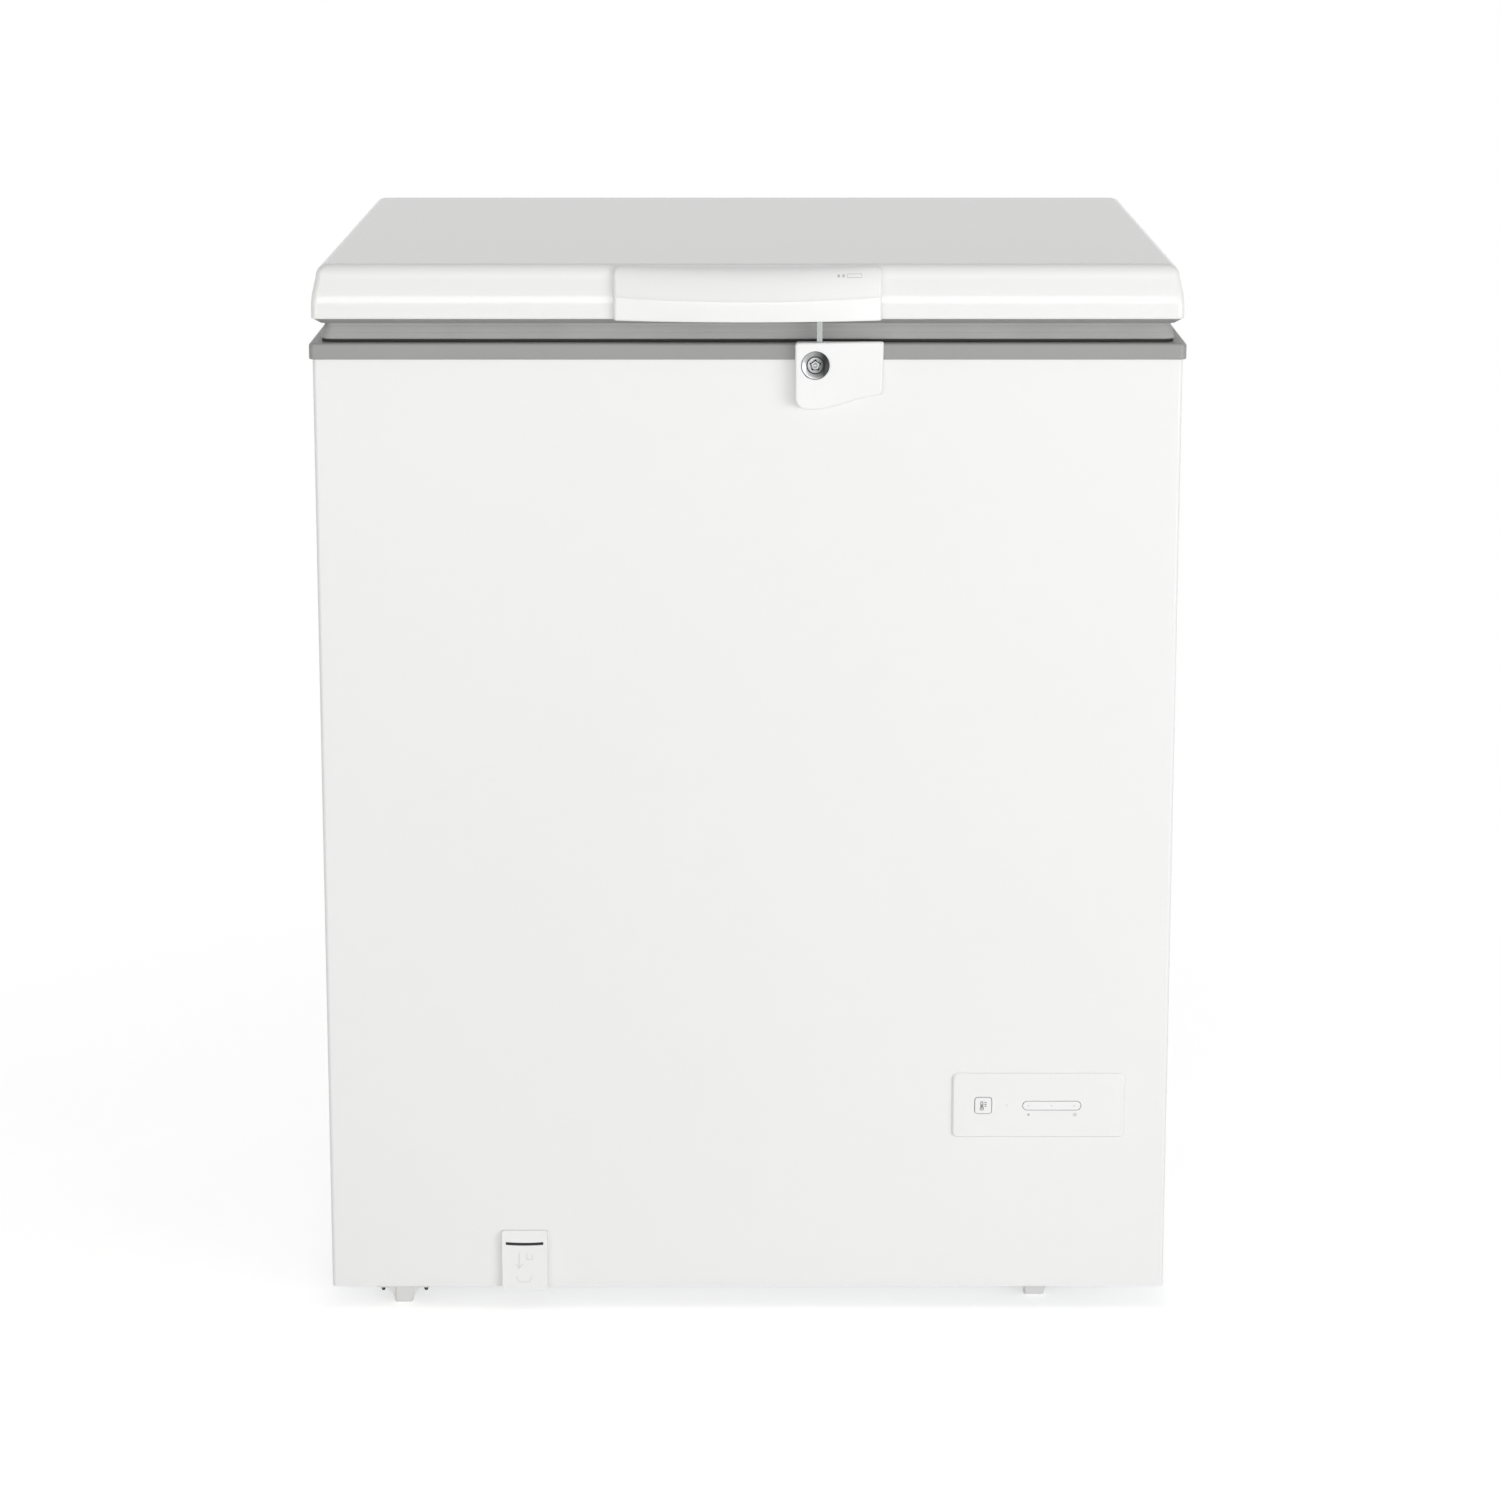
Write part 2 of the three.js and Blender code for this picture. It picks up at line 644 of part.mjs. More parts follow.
function buildFoot(postWidth) {
  const plateTop = floorGap - fitGap;
  const plateBottom = plateTop - foot.plate;
  const halfPost = postWidth / 2;
  const gusset = [
    [-halfPost, plateBottom - foot.gussetDrop],
    [halfPost, plateBottom - foot.gussetDrop],
    [foot.gussetReach, plateTop],
    [-foot.gussetReach, plateTop],
  ];
  const plate = block(
    [-foot.plateWidth / 2, foot.plateWidth / 2],
    [-foot.plateDepth / 2, foot.plateDepth / 2],
    [plateBottom, plateTop],
  );
  const whole = join([
    block([-halfPost, halfPost], [-foot.postDepth / 2, foot.postDepth / 2], [0, plateTop]),
    prism("y", gusset, -foot.gussetThickness / 2, foot.gussetThickness / 2),
    plate,
  ]);
  const holes = [-1, 1].map((turn) =>
    rod("z", [turn * footScrew.spread, 0], footScrew.shankRadius + fitGap, 0, floorGap, smallSides),
  );
  return cut(whole, holes);
}

function buildFootScrew(sheet) {
  const under = floorGap - fitGap - foot.plate - fitGap;
  return join([
    rod("z", [0, 0], footScrew.headRadius, under - footScrew.headHeight, under, smallSides),
    rod("z", [0, 0], footScrew.shankRadius, under - footScrew.headHeight / 2, floorGap + sheet, smallSides),
  ]);
}

function buildFeet() {
  const group = new THREE.Group();
  for (const [name, x, y, postWidth, sheet] of footPlaces()) {
    const place = new THREE.Group();
    place.position.set(x, y, 0);
    place.add(piece("foot_" + name, buildFoot(postWidth), finishes.whitePlastic));
    for (const [side, turn] of [["a", -1], ["b", 1]]) {
      const screw = piece("foot_screw_" + name + "_" + side, buildFootScrew(sheet), finishes.darkSteel);
      screw.position.x = turn * footScrew.spread;
      place.add(screw);
    }
    group.add(place);
  }
  return group;
}

// Control panel on the front of the compressor bay
function panelBossX(inset) {
  const reach = panel.bossInset + inset;
  return [panelLeft + reach, panelLeft + panel.width - reach];
}

function panelBossZ(inset) {
  const reach = panel.bossInset + inset;
  return [panel.bottom + reach, panel.bottom + panel.height - reach];
}

function buttonOutline(grow) {
  const left = panelLeft + button.left - grow;
  const low = panel.bottom + button.low - grow;
  const size = button.size + 2 * grow;
  return roundedOutline([left, left + size], [low, low + size], button.cornerRadius);
}

function lensOutline(grow) {
  const left = panelLeft + lens.left - grow;
  const low = panel.bottom + lens.low - grow;
  const height = lens.height + 2 * grow;
  return roundedOutline([left, left + lens.width + 2 * grow], [low, low + height], height / 2);
}

function buildPanel() {
  const right = panelLeft + panel.width;
  const top = panel.bottom + panel.height;
  const loops = [[0, panel.bevel], [panel.bevel, 0], [panel.proud - fitGap, 0]].map(([depth, inset]) => {
    const outline = roundedOutline(
      [panelLeft + inset, right - inset],
      [panel.bottom + inset, top - inset],
      panel.cornerRadius,
    );
    return outline.map(([a, b]) => vector(a, depth - panel.proud, b));
  });
  const plate = loft(loops, (point) => new THREE.Vector2(point.x, point.z));
  const boss = block(panelBossX(0), [-fitGap - panel.wall / 2, panel.bossDepth], panelBossZ(0));
  const hollow = block(panelBossX(panel.wall), [-fitGap, panel.bossDepth + overrun], panelBossZ(panel.wall));
  return cut(join([plate, boss]), [
    hollow,
    prism("y", buttonOutline(fitGap), -panel.proud - overrun, panel.bossDepth),
    prism("y", lensOutline(fitGap), -panel.proud - overrun, panel.bossDepth),
  ]);
}

function buildButton() {
  const flange = buttonOutline(button.flange);
  return join([
    prism("y", buttonOutline(0), -panel.proud - button.proud, button.flangeThickness / 2),
    prism("y", flange, 0, button.flangeThickness),
  ]);
}

function buildLens() {
  return join([
    prism("y", lensOutline(0), -panel.proud - lens.proud, lens.flangeThickness / 2),
    prism("y", lensOutline(lens.flange), 0, lens.flangeThickness),
  ]);
}

function buildBoard() {
  const inset = panel.wall + fitGap;
  const centreX = panelLeft + button.left + button.size / 2;
  const centreZ = panel.bottom + button.low + button.size / 2;
  const half = board.switchSize / 2;
  const switchFront = board.back - board.switchHeight;
  return join([
    block(panelBossX(inset), [board.back, board.back + board.thickness], panelBossZ(inset)),
    block(
      [centreX - half, centreX + half],
      [switchFront, board.back + board.thickness / 2],
      [centreZ - half, centreZ + half],
    ),
  ]);
}

// Drain tube in the foam, the spout that pulls out of it and the plug in the tub floor
function buildDrainTube() {
  const outer = drain.bore + drain.wall;
  const front = foamFront;
  const low = drain.height;
  return cut(
    join([
      rod("y", [drainX, low], outer, front, drain.back),
      rod("z", [drainX, drain.back], outer, low - outer, cavityFloor),
    ]),
    [
      rod("y", [drainX, low], drain.bore, front - overrun, drain.back),
      rod("z", [drainX, drain.back], drain.bore, low - drain.bore, cavityFloor + overrun),
    ],
  );
}

function buildSpout() {
  const left = drainX - spout.width / 2;
  const bottom = floorGap - spout.drop;
  const top = bottom + spout.height;
  const front = -fitGap - spout.depth;
  const outline = spoutOutlineShares.map(([a, b]) => [left + a * spout.width, bottom + b * spout.height]);
  const bevel = [
    [front - overrun, top - spout.bevelHeight],
    [front, top - spout.bevelHeight],
    [front + spout.bevelDepth, top],
    [front + spout.bevelDepth, top + overrun],
    [front - overrun, top + overrun],
  ];
  const slotTop = top - spout.slotDrop;
  const tubeRadius = drain.bore - spout.tubeGap;
  const bore = tubeRadius - spout.tubeWall;
  const half = spout.outlet / 2;
  return cut(
    join([
      prism("y", outline, front, -fitGap),
      rod("y", [drainX, drain.height], tubeRadius, front / 2, spout.tubeLength),
    ]),
    [
      prism("x", bevel, left - overrun, left + spout.width + overrun),
      block(
        [drainX - spout.slotWidth / 2, drainX + spout.slotWidth / 2],
        [front - overrun, front + spout.slotDepth],
        [slotTop - spout.slotHeight, slotTop],
      ),
      rod("y", [drainX, drain.height], bore, steel, spout.tubeLength + overrun),
      block(
        [drainX - half, drainX + half],
        [steel + spout.tubeWall, steel + spout.tubeWall + spout.outlet],
        [drain.height - tubeRadius - overrun, drain.height],
      ),
    ],
  );
}

function buildPlug() {
  const floor = cavityFloor + fitGap + linerSheet + fitGap;
  const stem = drain.bore - fitGap;
  const profile = [
    [0, floor - plug.stemLength],
    [stem, floor - plug.stemLength],
    [stem, floor],
    [plug.flangeRadius, floor],
    [plug.flangeRadius, floor + plug.flangeHeight],
    [plug.knobRadius, floor + plug.flangeHeight],
    [plug.knobRadius, floor + plug.flangeHeight + plug.knobHeight],
    [0, floor + plug.flangeHeight + plug.knobHeight],
  ];
  return turned("z", profile, roundSides, [drainX, drain.back, 0]);
}

// Compressor with its cover, grommets, drier and pipes
function compressorPlace() {
  const x = bayLeft + bay.width / 2;
  const plateBottom = trayTop + fitGap + grommet.height + fitGap;
  return [x, bodyDepth - compressor.backInset, plateBottom];
}

function buildCompressor() {
  const [x, y, bottom] = compressorPlace();
  const base = bottom + compressor.plate - compressor.sink;
  const profile = compressorShares.map(([radius, height]) => new THREE.Vector2(radius, height));
  const geometry = new THREE.LatheGeometry(profile, roundSides + 2);
  geometry.rotateX(Math.PI / 2);
  geometry.scale(compressor.halfLength, compressor.halfWidth, compressor.height);
  geometry.translate(x, y, base);
  const halfLength = compressor.plateLength / 2;
  const halfWidthOfPlate = compressor.plateWidth / 2;
  const plate = block(
    [x - halfLength, x + halfLength],
    [y - halfWidthOfPlate, y + halfWidthOfPlate],
    [bottom, bottom + compressor.plate],
  );
  return join([solidFrom(geometry), plate]);
}

function buildGrommets() {
  const [x, y] = compressorPlace();
  const group = new THREE.Group();
  group.position.set(x, y, trayTop + fitGap);
  const reachX = compressor.plateLength / 2 - grommet.inset;
  const reachY = compressor.plateWidth / 2 - grommet.inset;
  const corners = [["a", -1, -1], ["b", 1, -1], ["c", -1, 1], ["d", 1, 1]];
  for (const [name, sideX, sideY] of corners) {
    const solid = rod("z", [0, 0], grommet.radius, 0, grommet.height, smallSides);
    const mesh = piece("compressor_grommet_" + name, solid, finishes.darkRubber);
    mesh.position.set(sideX * reachX, sideY * reachY, 0);
    group.add(mesh);
  }
  return group;
}

function buildTerminal() {
  const [x, y, bottom] = compressorPlace();
  const widest = Math.max(...compressorShares.map(([radius]) => radius));
  const back = y - compressor.halfWidth * widest - fitGap;
  const low = bottom + terminal.lift;
  return block([x - terminal.width / 2, x + terminal.width / 2], [back - terminal.depth, back], [
    low,
    low + terminal.height,
  ]);
}

function buildDrier() {
  const top = bayTop;
  const neckBottom = top - drier.neckLength;
  const bottom = neckBottom - drier.canHeight;
  const profile = [
    [0, bottom],
    [drier.neckRadius, bottom],
    [drier.radius, bottom + drier.shoulder],
    [drier.radius, neckBottom - drier.shoulder],
    [drier.neckRadius, neckBottom],
    [drier.neckRadius, top],
    [0, top],
  ];
  return turned("z", profile, smallSides, [condenserOutlet, condenserBack, 0]);
}

function pipeFromCompressor(side, [endX, endY], radius) {
  const [x, y, bottom] = compressorPlace();
  const top = bottom + compressor.plate - compressor.sink + compressor.height + fitGap;
  const startX = x + side * compressor.stubOffset;
  const turn = pipe.lift / 2;
  const reachY = Math.sign(endY - y) * pipe.bend;
  const points = [
    vector(startX, y, top),
    vector(startX, y, top + turn),
    vector(startX, y + reachY / 2, top + pipe.lift),
    vector((startX + endX) / 2, (y + endY) / 2, top + pipe.lift),
    vector(endX, endY - reachY / 2, top + pipe.lift),
    vector(endX, endY, top + pipe.lift + turn),
    vector(endX, endY, bayTop),
  ];
  return tube(points, radius, pipeSides);
}

// Vents and the cord entry
function grilleWindow() {
  return {
    across: [grilleFront + grille.border, grilleFront + grille.width - grille.border],
    up: [grille.bottom + grille.border, grille.bottom + grille.height - grille.border],
  };
}

function buildGrille() {
  const outer = [halfWidth + fitGap, halfWidth + fitGap + grille.thickness];
  const { across, up } = grilleWindow();
  const pitch = (up[1] - up[0]) / grille.slots;
  const slots = Array.from({ length: grille.slots }, (_, i) => {
    const middle = up[0] + pitch * (i + 0.5);
    const height = [middle - grille.slotHeight / 2, middle + grille.slotHeight / 2];
    return block([outer[0] - overrun, outer[1] + overrun], across, height);
  });
  const plate = block(outer, [grilleFront, grilleFront + grille.width], [
    grille.bottom,
    grille.bottom + grille.height,
  ]);
  return cut(plate, slots);
}

function buildCover() {
  const left = bayLeft + fitGap;
  const right = foamX;
  const slots = Array.from({ length: cover.slots }, (_, i) => {
    const bottom = cover.slotBottom + cover.slotPitch * i;
    return block(
      [left + cover.slotInset, right - cover.slotInset],
      [backFace - overrun, bodyDepth + overrun],
      [bottom, bottom + cover.slotHeight],
    );
  });
  const plate = block([left, right], [backFace, bodyDepth], [floorGap, bayTop]);
  return cut(plate, [
    ...slots,
    rod("y", [glandX, gland.height], gland.bodyRadius + fitGap, backFace - overrun, bodyDepth + overrun),
  ]);
}

function buildGland() {
  const middle = [glandX, gland.height];
  const outside = bodyDepth + fitGap + gland.flange;
  return cut(
    join([
      rod("y", middle, gland.flangeRadius, bodyDepth + fitGap, outside),
      rod("y", middle, gland.bodyRadius, bodyDepth - gland.depth, outside - gland.flange / 2),
    ]),
    [rod("y", middle, gland.bore, bodyDepth - gland.depth - overrun, outside + overrun)],
  );
}

// Lock
function lockAxis() {
  return [lockX, bodyTop - lock.axisDrop];
}

function lockForm(inset, back) {
  const left = lockLeft + inset;
  const width = lock.width - 2 * inset;
  const height = lock.height - 2 * inset;
  const bottom = rimTop + lock.rise - lock.height + inset;
  const outline = lockOutlineShares.map(([a, b]) => [left + a * width, bottom + b * height]);
  const wedge = [
    [lockLeft, inset - lock.leftDepth],
    [lockLeft + lock.width, inset - lock.rightDepth],
    [lockLeft + lock.width, back],
    [lockLeft, back],
  ];
  const low = rimTop - bodyHeight;
  return prism("y", outline, -lock.leftDepth, back).intersect(prism("z", wedge, low, lidTop));
}

function buildLockHousing() {
  const top = rimTop + lock.rise;
  const across = [lockLeft - overrun, lockLeft + lock.width + overrun];
  const slotX = leverSlotX(top - lockAxis()[1]);
  return cut(lockForm(0, -fitGap), [
    lockForm(lock.wall, 0),
    block(across, [-rimOverhang - fitGap, 0], [bodyTop - fitGap, top + overrun]),
    block(slotX, leverSlotY(), [top - lock.wall - overrun, top + overrun]),
    rod("y", lockAxis(), bezel.radius + fitGap, -lock.leftDepth - overrun, 0, roundSides * 2),
  ]);
}

function buildBezel() {
  const { radius, lip, throatRadius, dish, depth } = bezel;
  const profile = [
    [0, dish],
    [throatRadius, dish],
    [radius - lip, 0],
    [radius, 0],
    [radius, depth],
    [0, depth],
  ];
  const [x, z] = lockAxis();
  const dished = turned("y", profile, roundSides * 2, [x, -bezel.front, z]);
  const opening = circle(x, z, barrel.radius + barrel.gap, wireSides, 0.25);
  return dished.subtract(prism("y", opening, -bezel.front, overrun));
}

function buildBarrel() {
  const [x, z] = lockAxis();
  const front = -bezel.front + barrel.recess;
  const back = -lever.front + lever.thickness;
  return cut(
    join([
      prism("y", circle(x, z, barrel.radius, wireSides, 0.25), front, back),
      rod("y", [x, z], barrel.tailRadius, back - lever.thickness, steel, smallSides),
    ]),
    [rod("y", [x, z], barrel.dimple, front - overrun, front + barrel.dimpleDepth, smallSides)],
  );
}

function leverArmX() {
  const left = lockX + lever.armOffset;
  return [left, left + lever.armWidth];
}

// A slot that the arm turns in, with its edge at a height over the lock's axis
function leverSlotX(height) {
  const [left, right] = leverArmX();
  const reach = height * Math.tan(lever.turn) + (right - lockX) / Math.cos(lever.turn);
  return [left - lever.slotEnds, lockX + reach + lever.slotEnds];
}

function leverSlotY() {
  return [-lever.front - lever.slotFront, -lever.front + lever.thickness + lever.slotBack];
}

function buildLever() {
  const [x, z] = lockAxis();
  const [left, right] = leverArmX();
  const back = -lever.front + lever.thickness;
  const nose = z + lever.noseHeight;
  const arm = [
    [left, z],
    [right, z],
    [right, nose],
    [right + lever.noseLength, nose],
    [right + lever.noseLength, nose + lever.noseThickness],
    [left, nose + lever.noseThickness],
  ];
  return cut(
    join([rod("y", [x, z], lever.hubRadius, -lever.front, back), prism("y", arm, -lever.front, back)]),
    [prism("y", circle(x, z, barrel.radius + fitGap, wireSides, 0.25), -lever.front - overrun, back + overrun)],
  );
}

// Lid
function lidOutline(inset, radius) {
  const reach = halfWidth + lidSideOverhang - inset;
  const ends = [inset - lidEndOverhang, bodyDepth + lidEndOverhang - inset];
  return roundedOutline([-reach, reach], ends, radius);
}

// Height above the lower edge and inset from the widest outline, for a surface set in by a thickness
function lidProfile(thickness) {
  const high = lidHeight - thickness - lid.faceTop;
  const deep = lid.topInset - thickness - lid.faceInset;
  const rounding = Array.from({ length: lid.roundSteps + 1 }, (_, i) => {
    const angle = ((Math.PI / 2) * i) / lid.roundSteps;
    return [lid.faceTop + high * Math.sin(angle), lid.topInset - deep * Math.cos(angle)];
  });
  return [
    [-overrun, lid.edgeInset + thickness],
    [0, lid.edgeInset + thickness],
    [lid.edgeRound, thickness],
    [lid.bandTop, thickness],
    [lid.shoulderTop, lid.shoulderInset + thickness],
    ...rounding,
  ];
}

function lidForm(thickness, bottom) {
  const loops = lidProfile(thickness).map(([height, inset]) =>
    lidOutline(inset, lid.cornerRadius).map(([a, b]) => vector(a, b, lidBottom + height)),
  );
  const whole = loft(loops, (point) => new THREE.Vector2(point.x, point.y));
  const across = [-bodyWidth, bodyWidth];
  return whole.subtract(block(across, [-bodyDepth, bodyDepth * 2], [bottom - bodyHeight, bottom]));
}

function plugOutline(grow) {
  return lidOutline(underside.plugInset - grow, underside.plugRadius + grow);
}

function buildLidFlange() {
  const top = lidBottom - fitGap;
  const levels = [[flangeBottom, underside.bottomInset], [top, underside.topInset]];
  const loops = levels.map(([z, inset]) =>
    lidOutline(inset, underside.cornerRadius).map(([a, b]) => vector(a, b, z)),
  );
  const whole = loft(loops, (point) => new THREE.Vector2(point.x, point.y));
  return whole.subtract(prism("z", plugOutline(fitGap), flangeBottom - overrun, top + overrun));
}

function buildLidPanel() {
  const { panelWall, plugDepth, plateInset, cornerRadius } = underside;
  const top = lidBottom + panelWall;
  return cut(
    join([
      prism("z", lidOutline(plateInset, cornerRadius), lidBottom, top),
      prism("z", plugOutline(0), lidBottom - plugDepth, top),
    ]),
    [prism("z", plugOutline(-panelWall), lidBottom - plugDepth + panelWall, top + overrun)],
  );
}

function buildLidFoam() {
  const bottom = lidBottom - underside.plugDepth + underside.panelWall + fitGap;
  const overPanel = lidBottom + underside.panelWall + fitGap;
  return join([
    lidForm(lid.sheet + fitGap, overPanel),
    prism("z", plugOutline(-underside.panelWall - fitGap), bottom, overPanel + lid.bandTop),
  ]);
}

function buildGasket() {
  const { bottomInset, topInset, innerInset, edgeRound, cornerRadius } = gasket;
  const bottom = rimTop + fitGap;
  const top = flangeBottom - fitGap;
  const levels = [[bottom, bottomInset + edgeRound], [bottom + edgeRound, bottomInset], [top, topInset]];
  const loops = levels.map(([z, inset]) =>
    bodyOutline(inset, cornerRadius).map(([a, b]) => vector(a, b, z)),
  );
  const whole = loft(loops, (point) => new THREE.Vector2(point.x, point.y));
  const inside = bodyOutline(innerInset, cornerRadius);
  return whole.subtract(prism("z", inside, bottom - overrun, top + overrun));
}

// The handle's bowed front, from above
function handleFront(x) {
  const share = x / handleEnd;
  return -lidEndOverhang - handle.endProud - handle.bow * (1 - share * share);
}

function bowedOutline([left, right], wall, back) {
  const steps = handle.stations / 2;
  const front = Array.from({ length: steps + 1 }, (_, i) => {
    const x = left + ((right - left) * i) / steps;
    return [x, handleFront(x) + wall];
  });
  return [...front, [right, back], [left, back]];
}

function buildHandle() {
  const rise = (handle.topHeight - lid.faceTop) / (lidHeight - lid.faceTop);
  const lidInset = lid.topInset - (lid.topInset - lid.faceInset) * Math.sqrt(1 - rise * rise);
  const topFront = lidInset - lidEndOverhang - fitGap - handle.topProud;
  const top = lidBottom + handle.topHeight;
  const back = lid.topInset;
  const loops = Array.from({ length: handle.stations + 1 }, (_, i) => {
    const x = handle.width * (i / handle.stations - 0.5);
    const front = handleFront(x);
    const bowShare = (handleFront(handleEnd) - front) / handle.bow;
    const step = handleBottom + handle.stepHeight + handle.stepSag * (1 - 2 * bowShare);
    return [
      vector(x, front, handleBottom),
      vector(x, back, handleBottom),
      vector(x, back, top),
      vector(x, topFront, top),
      vector(x, front + handle.ledge, step + handle.ledgeRise),
      vector(x, front, step),
    ];
  });
  const outer = loft(loops, (point) => new THREE.Vector2(point.y, point.z));
  const pocket = [handleBottom - overrun, handleBottom + handle.pocketHeight];
  const lidFront = -lidEndOverhang - fitGap;
  const fingers = bowedOutline([fingerLeft, fingerRight], handle.wall, lidFront - handle.backWall);
  const lockRoom = bowedOutline([lockPocketLeft, lockPocketRight], handle.wall, lidFront);
  return cut(outer, [
    lidForm(-fitGap, handleBottom - overrun / 2),
    block([-handle.width, handle.width], [lidFront, bodyDepth], [handleBottom - overrun, lidBottom]),
    prism("z", fingers, ...pocket),
    prism("z", lockRoom, ...pocket),
  ]);
}

function buildStrike() {
  const across = [lockPocketLeft + fitGap, lockPocketRight - fitGap];
  const lidFront = -lidEndOverhang - fitGap;
  const outline = bowedOutline(across, handle.wall + fitGap, lidFront - fitGap);
  const bottom = handleBottom + fitGap;
  const top = bottom + strike.thickness;
  const slotX = leverSlotX(top - lockAxis()[1]);
  return cut(prism("z", outline, bottom, top), [
    block(slotX, leverSlotY(), [bottom - overrun, top + overrun]),
  ]);
}

// Hinges, drawn about the middle of their pin
function hingeEar(reach) {
  const web = -hinge.setback + rimOverhang + fitGap;
  const round = circle(0, 0, hinge.earRadius, smallSides, 0.5);
  const upper = round.slice(0, smallSides / 2);
  return [
    [web, -hinge.drop],
    [reach, -hinge.drop + hinge.earRadius],
    [reach, 0],
    ...upper,
    [web, -hinge.webDrop],
  ];
}

function buildHingeBase() {
  const pad = [-hinge.setback + fitGap, -hinge.setback + rimOverhang + fitGap + hinge.plate];
  const web = [-hinge.setback + rimOverhang + fitGap, pad[1]];
  const outerHalf = hinge.innerHalf + hinge.plate;
  const across = [-outerHalf, outerHalf];
  const padTop = bodyTop - fitGap - pinHeight;
  const ears = [-1, 1].map((side) => {
    const faces = [side * hinge.innerHalf, side * outerHalf].sort((a, b) => a - b);
    return prism("x", hingeEar(springReach + hinge.plate), ...faces);
  });
  return cut(
    join([
      block(across, pad, [-hinge.drop, padTop]),
      block(across, web, [-hinge.drop, -hinge.webDrop]),
      block(across, [springReach, springReach + hinge.plate], [-hinge.tabDrop, hinge.tabHeight - hinge.tabDrop]),
      ...ears,
    ]),
    [rod("x", [0, 0], hinge.pinRadius + hinge.holeGap, ...across.map((x) => x * 2), smallSides)],
  );
}

function buildHingeArm() {
  const front = lidEndOverhang + fitGap - hinge.setback;
  const web = [front, front + hinge.plate];
  const low = springReach;
  const innerHalf = hinge.armHalf - hinge.plate;
  const across = [-hinge.armHalf, hinge.armHalf];
  const ears = [-1, 1].map((side) => {
    const faces = [side * innerHalf, side * hinge.armHalf].sort((a, b) => a - b);
    const round = circle(0, 0, hinge.earRadius, smallSides, 0.5);
    const outline = [
      ...round.slice(smallSides / 2),
      round[0],
      [hinge.earRadius, low + hinge.plate],
      [web[1] + hinge.plate, hinge.armTop],
      [front, hinge.armTop],
      [front, low],
    ];
    return prism("x", outline, ...faces);
  });
  return cut(
    join([block(across, web, [low, hinge.armTop]), block(across, [front, 0], [low, low + hinge.plate]), ...ears]),
    [rod("x", [0, 0], hinge.pinRadius + hinge.holeGap, ...across.map((x) => x * 2), smallSides)],
  );
}

function buildHingePin() {
  const outer = hinge.innerHalf + hinge.plate + fitGap;
  const heads = [-1, 1].map((side) => {
    const faces = [side * outer, side * (outer + hinge.pinHead)].sort((a, b) => a - b);
    return rod("x", [0, 0], hinge.pinHeadRadius, ...faces, smallSides);
  });
  return join([rod("x", [0, 0], hinge.pinRadius, -outer, outer, smallSides), ...heads]);
}

function springPoints() {
  const { wireRadius, radius, gap, turns, stepsPerTurn, legLength } = spring;
  const steps = turns * stepsPerTurn + stepsPerTurn / 4;
  const pitch = 2 * wireRadius + gap;
  const start = (-pitch * steps) / stepsPerTurn / 2;
  const points = [vector(start, radius, -legLength), vector(start, radius, -legLength / 2)];
  for (let i = 0; i <= steps; i += 1) {
    const angle = (2 * Math.PI * i) / stepsPerTurn;
    const x = start + (pitch * i) / stepsPerTurn;
    points.push(vector(x, radius * Math.cos(angle), radius * Math.sin(angle)));
  }
  const front = lidEndOverhang + fitGap - hinge.setback;
  points.push(vector(-start, front + hinge.plate + wireRadius + fitGap, radius));
  return points;
}

function buildHinges() {
  const fixed = new THREE.Group();
  const moving = new THREE.Group();
  for (const [name, side] of [["left", -1], ["right", 1]]) {
    const onCabinet = new THREE.Group();
    const onLid = new THREE.Group();
    for (const group of [onCabinet, onLid]) {
      group.position.set(side * (halfWidth - hinge.sideInset), pinBack, pinHeight);
    }
    const coil = tube(springPoints(), spring.wireRadius, wireSides);
    onCabinet.add(piece("hinge_base_" + name, buildHingeBase(), finishes.zincSteel));
    onCabinet.add(piece("hinge_pin_" + name, buildHingePin(), finishes.zincSteel));
    onCabinet.add(piece("hinge_spring_" + name, coil, finishes.darkSteel));
    onLid.add(piece("hinge_arm_" + name, buildHingeArm(), finishes.zincSteel));
    fixed.add(onCabinet);
    moving.add(onLid);
  }
  return { fixed, moving };
}

// Put together
function addAll(group, rows) {
  for (const [name, solid, finish] of rows) {
    group.add(piece(name, solid, finish));
  }
}

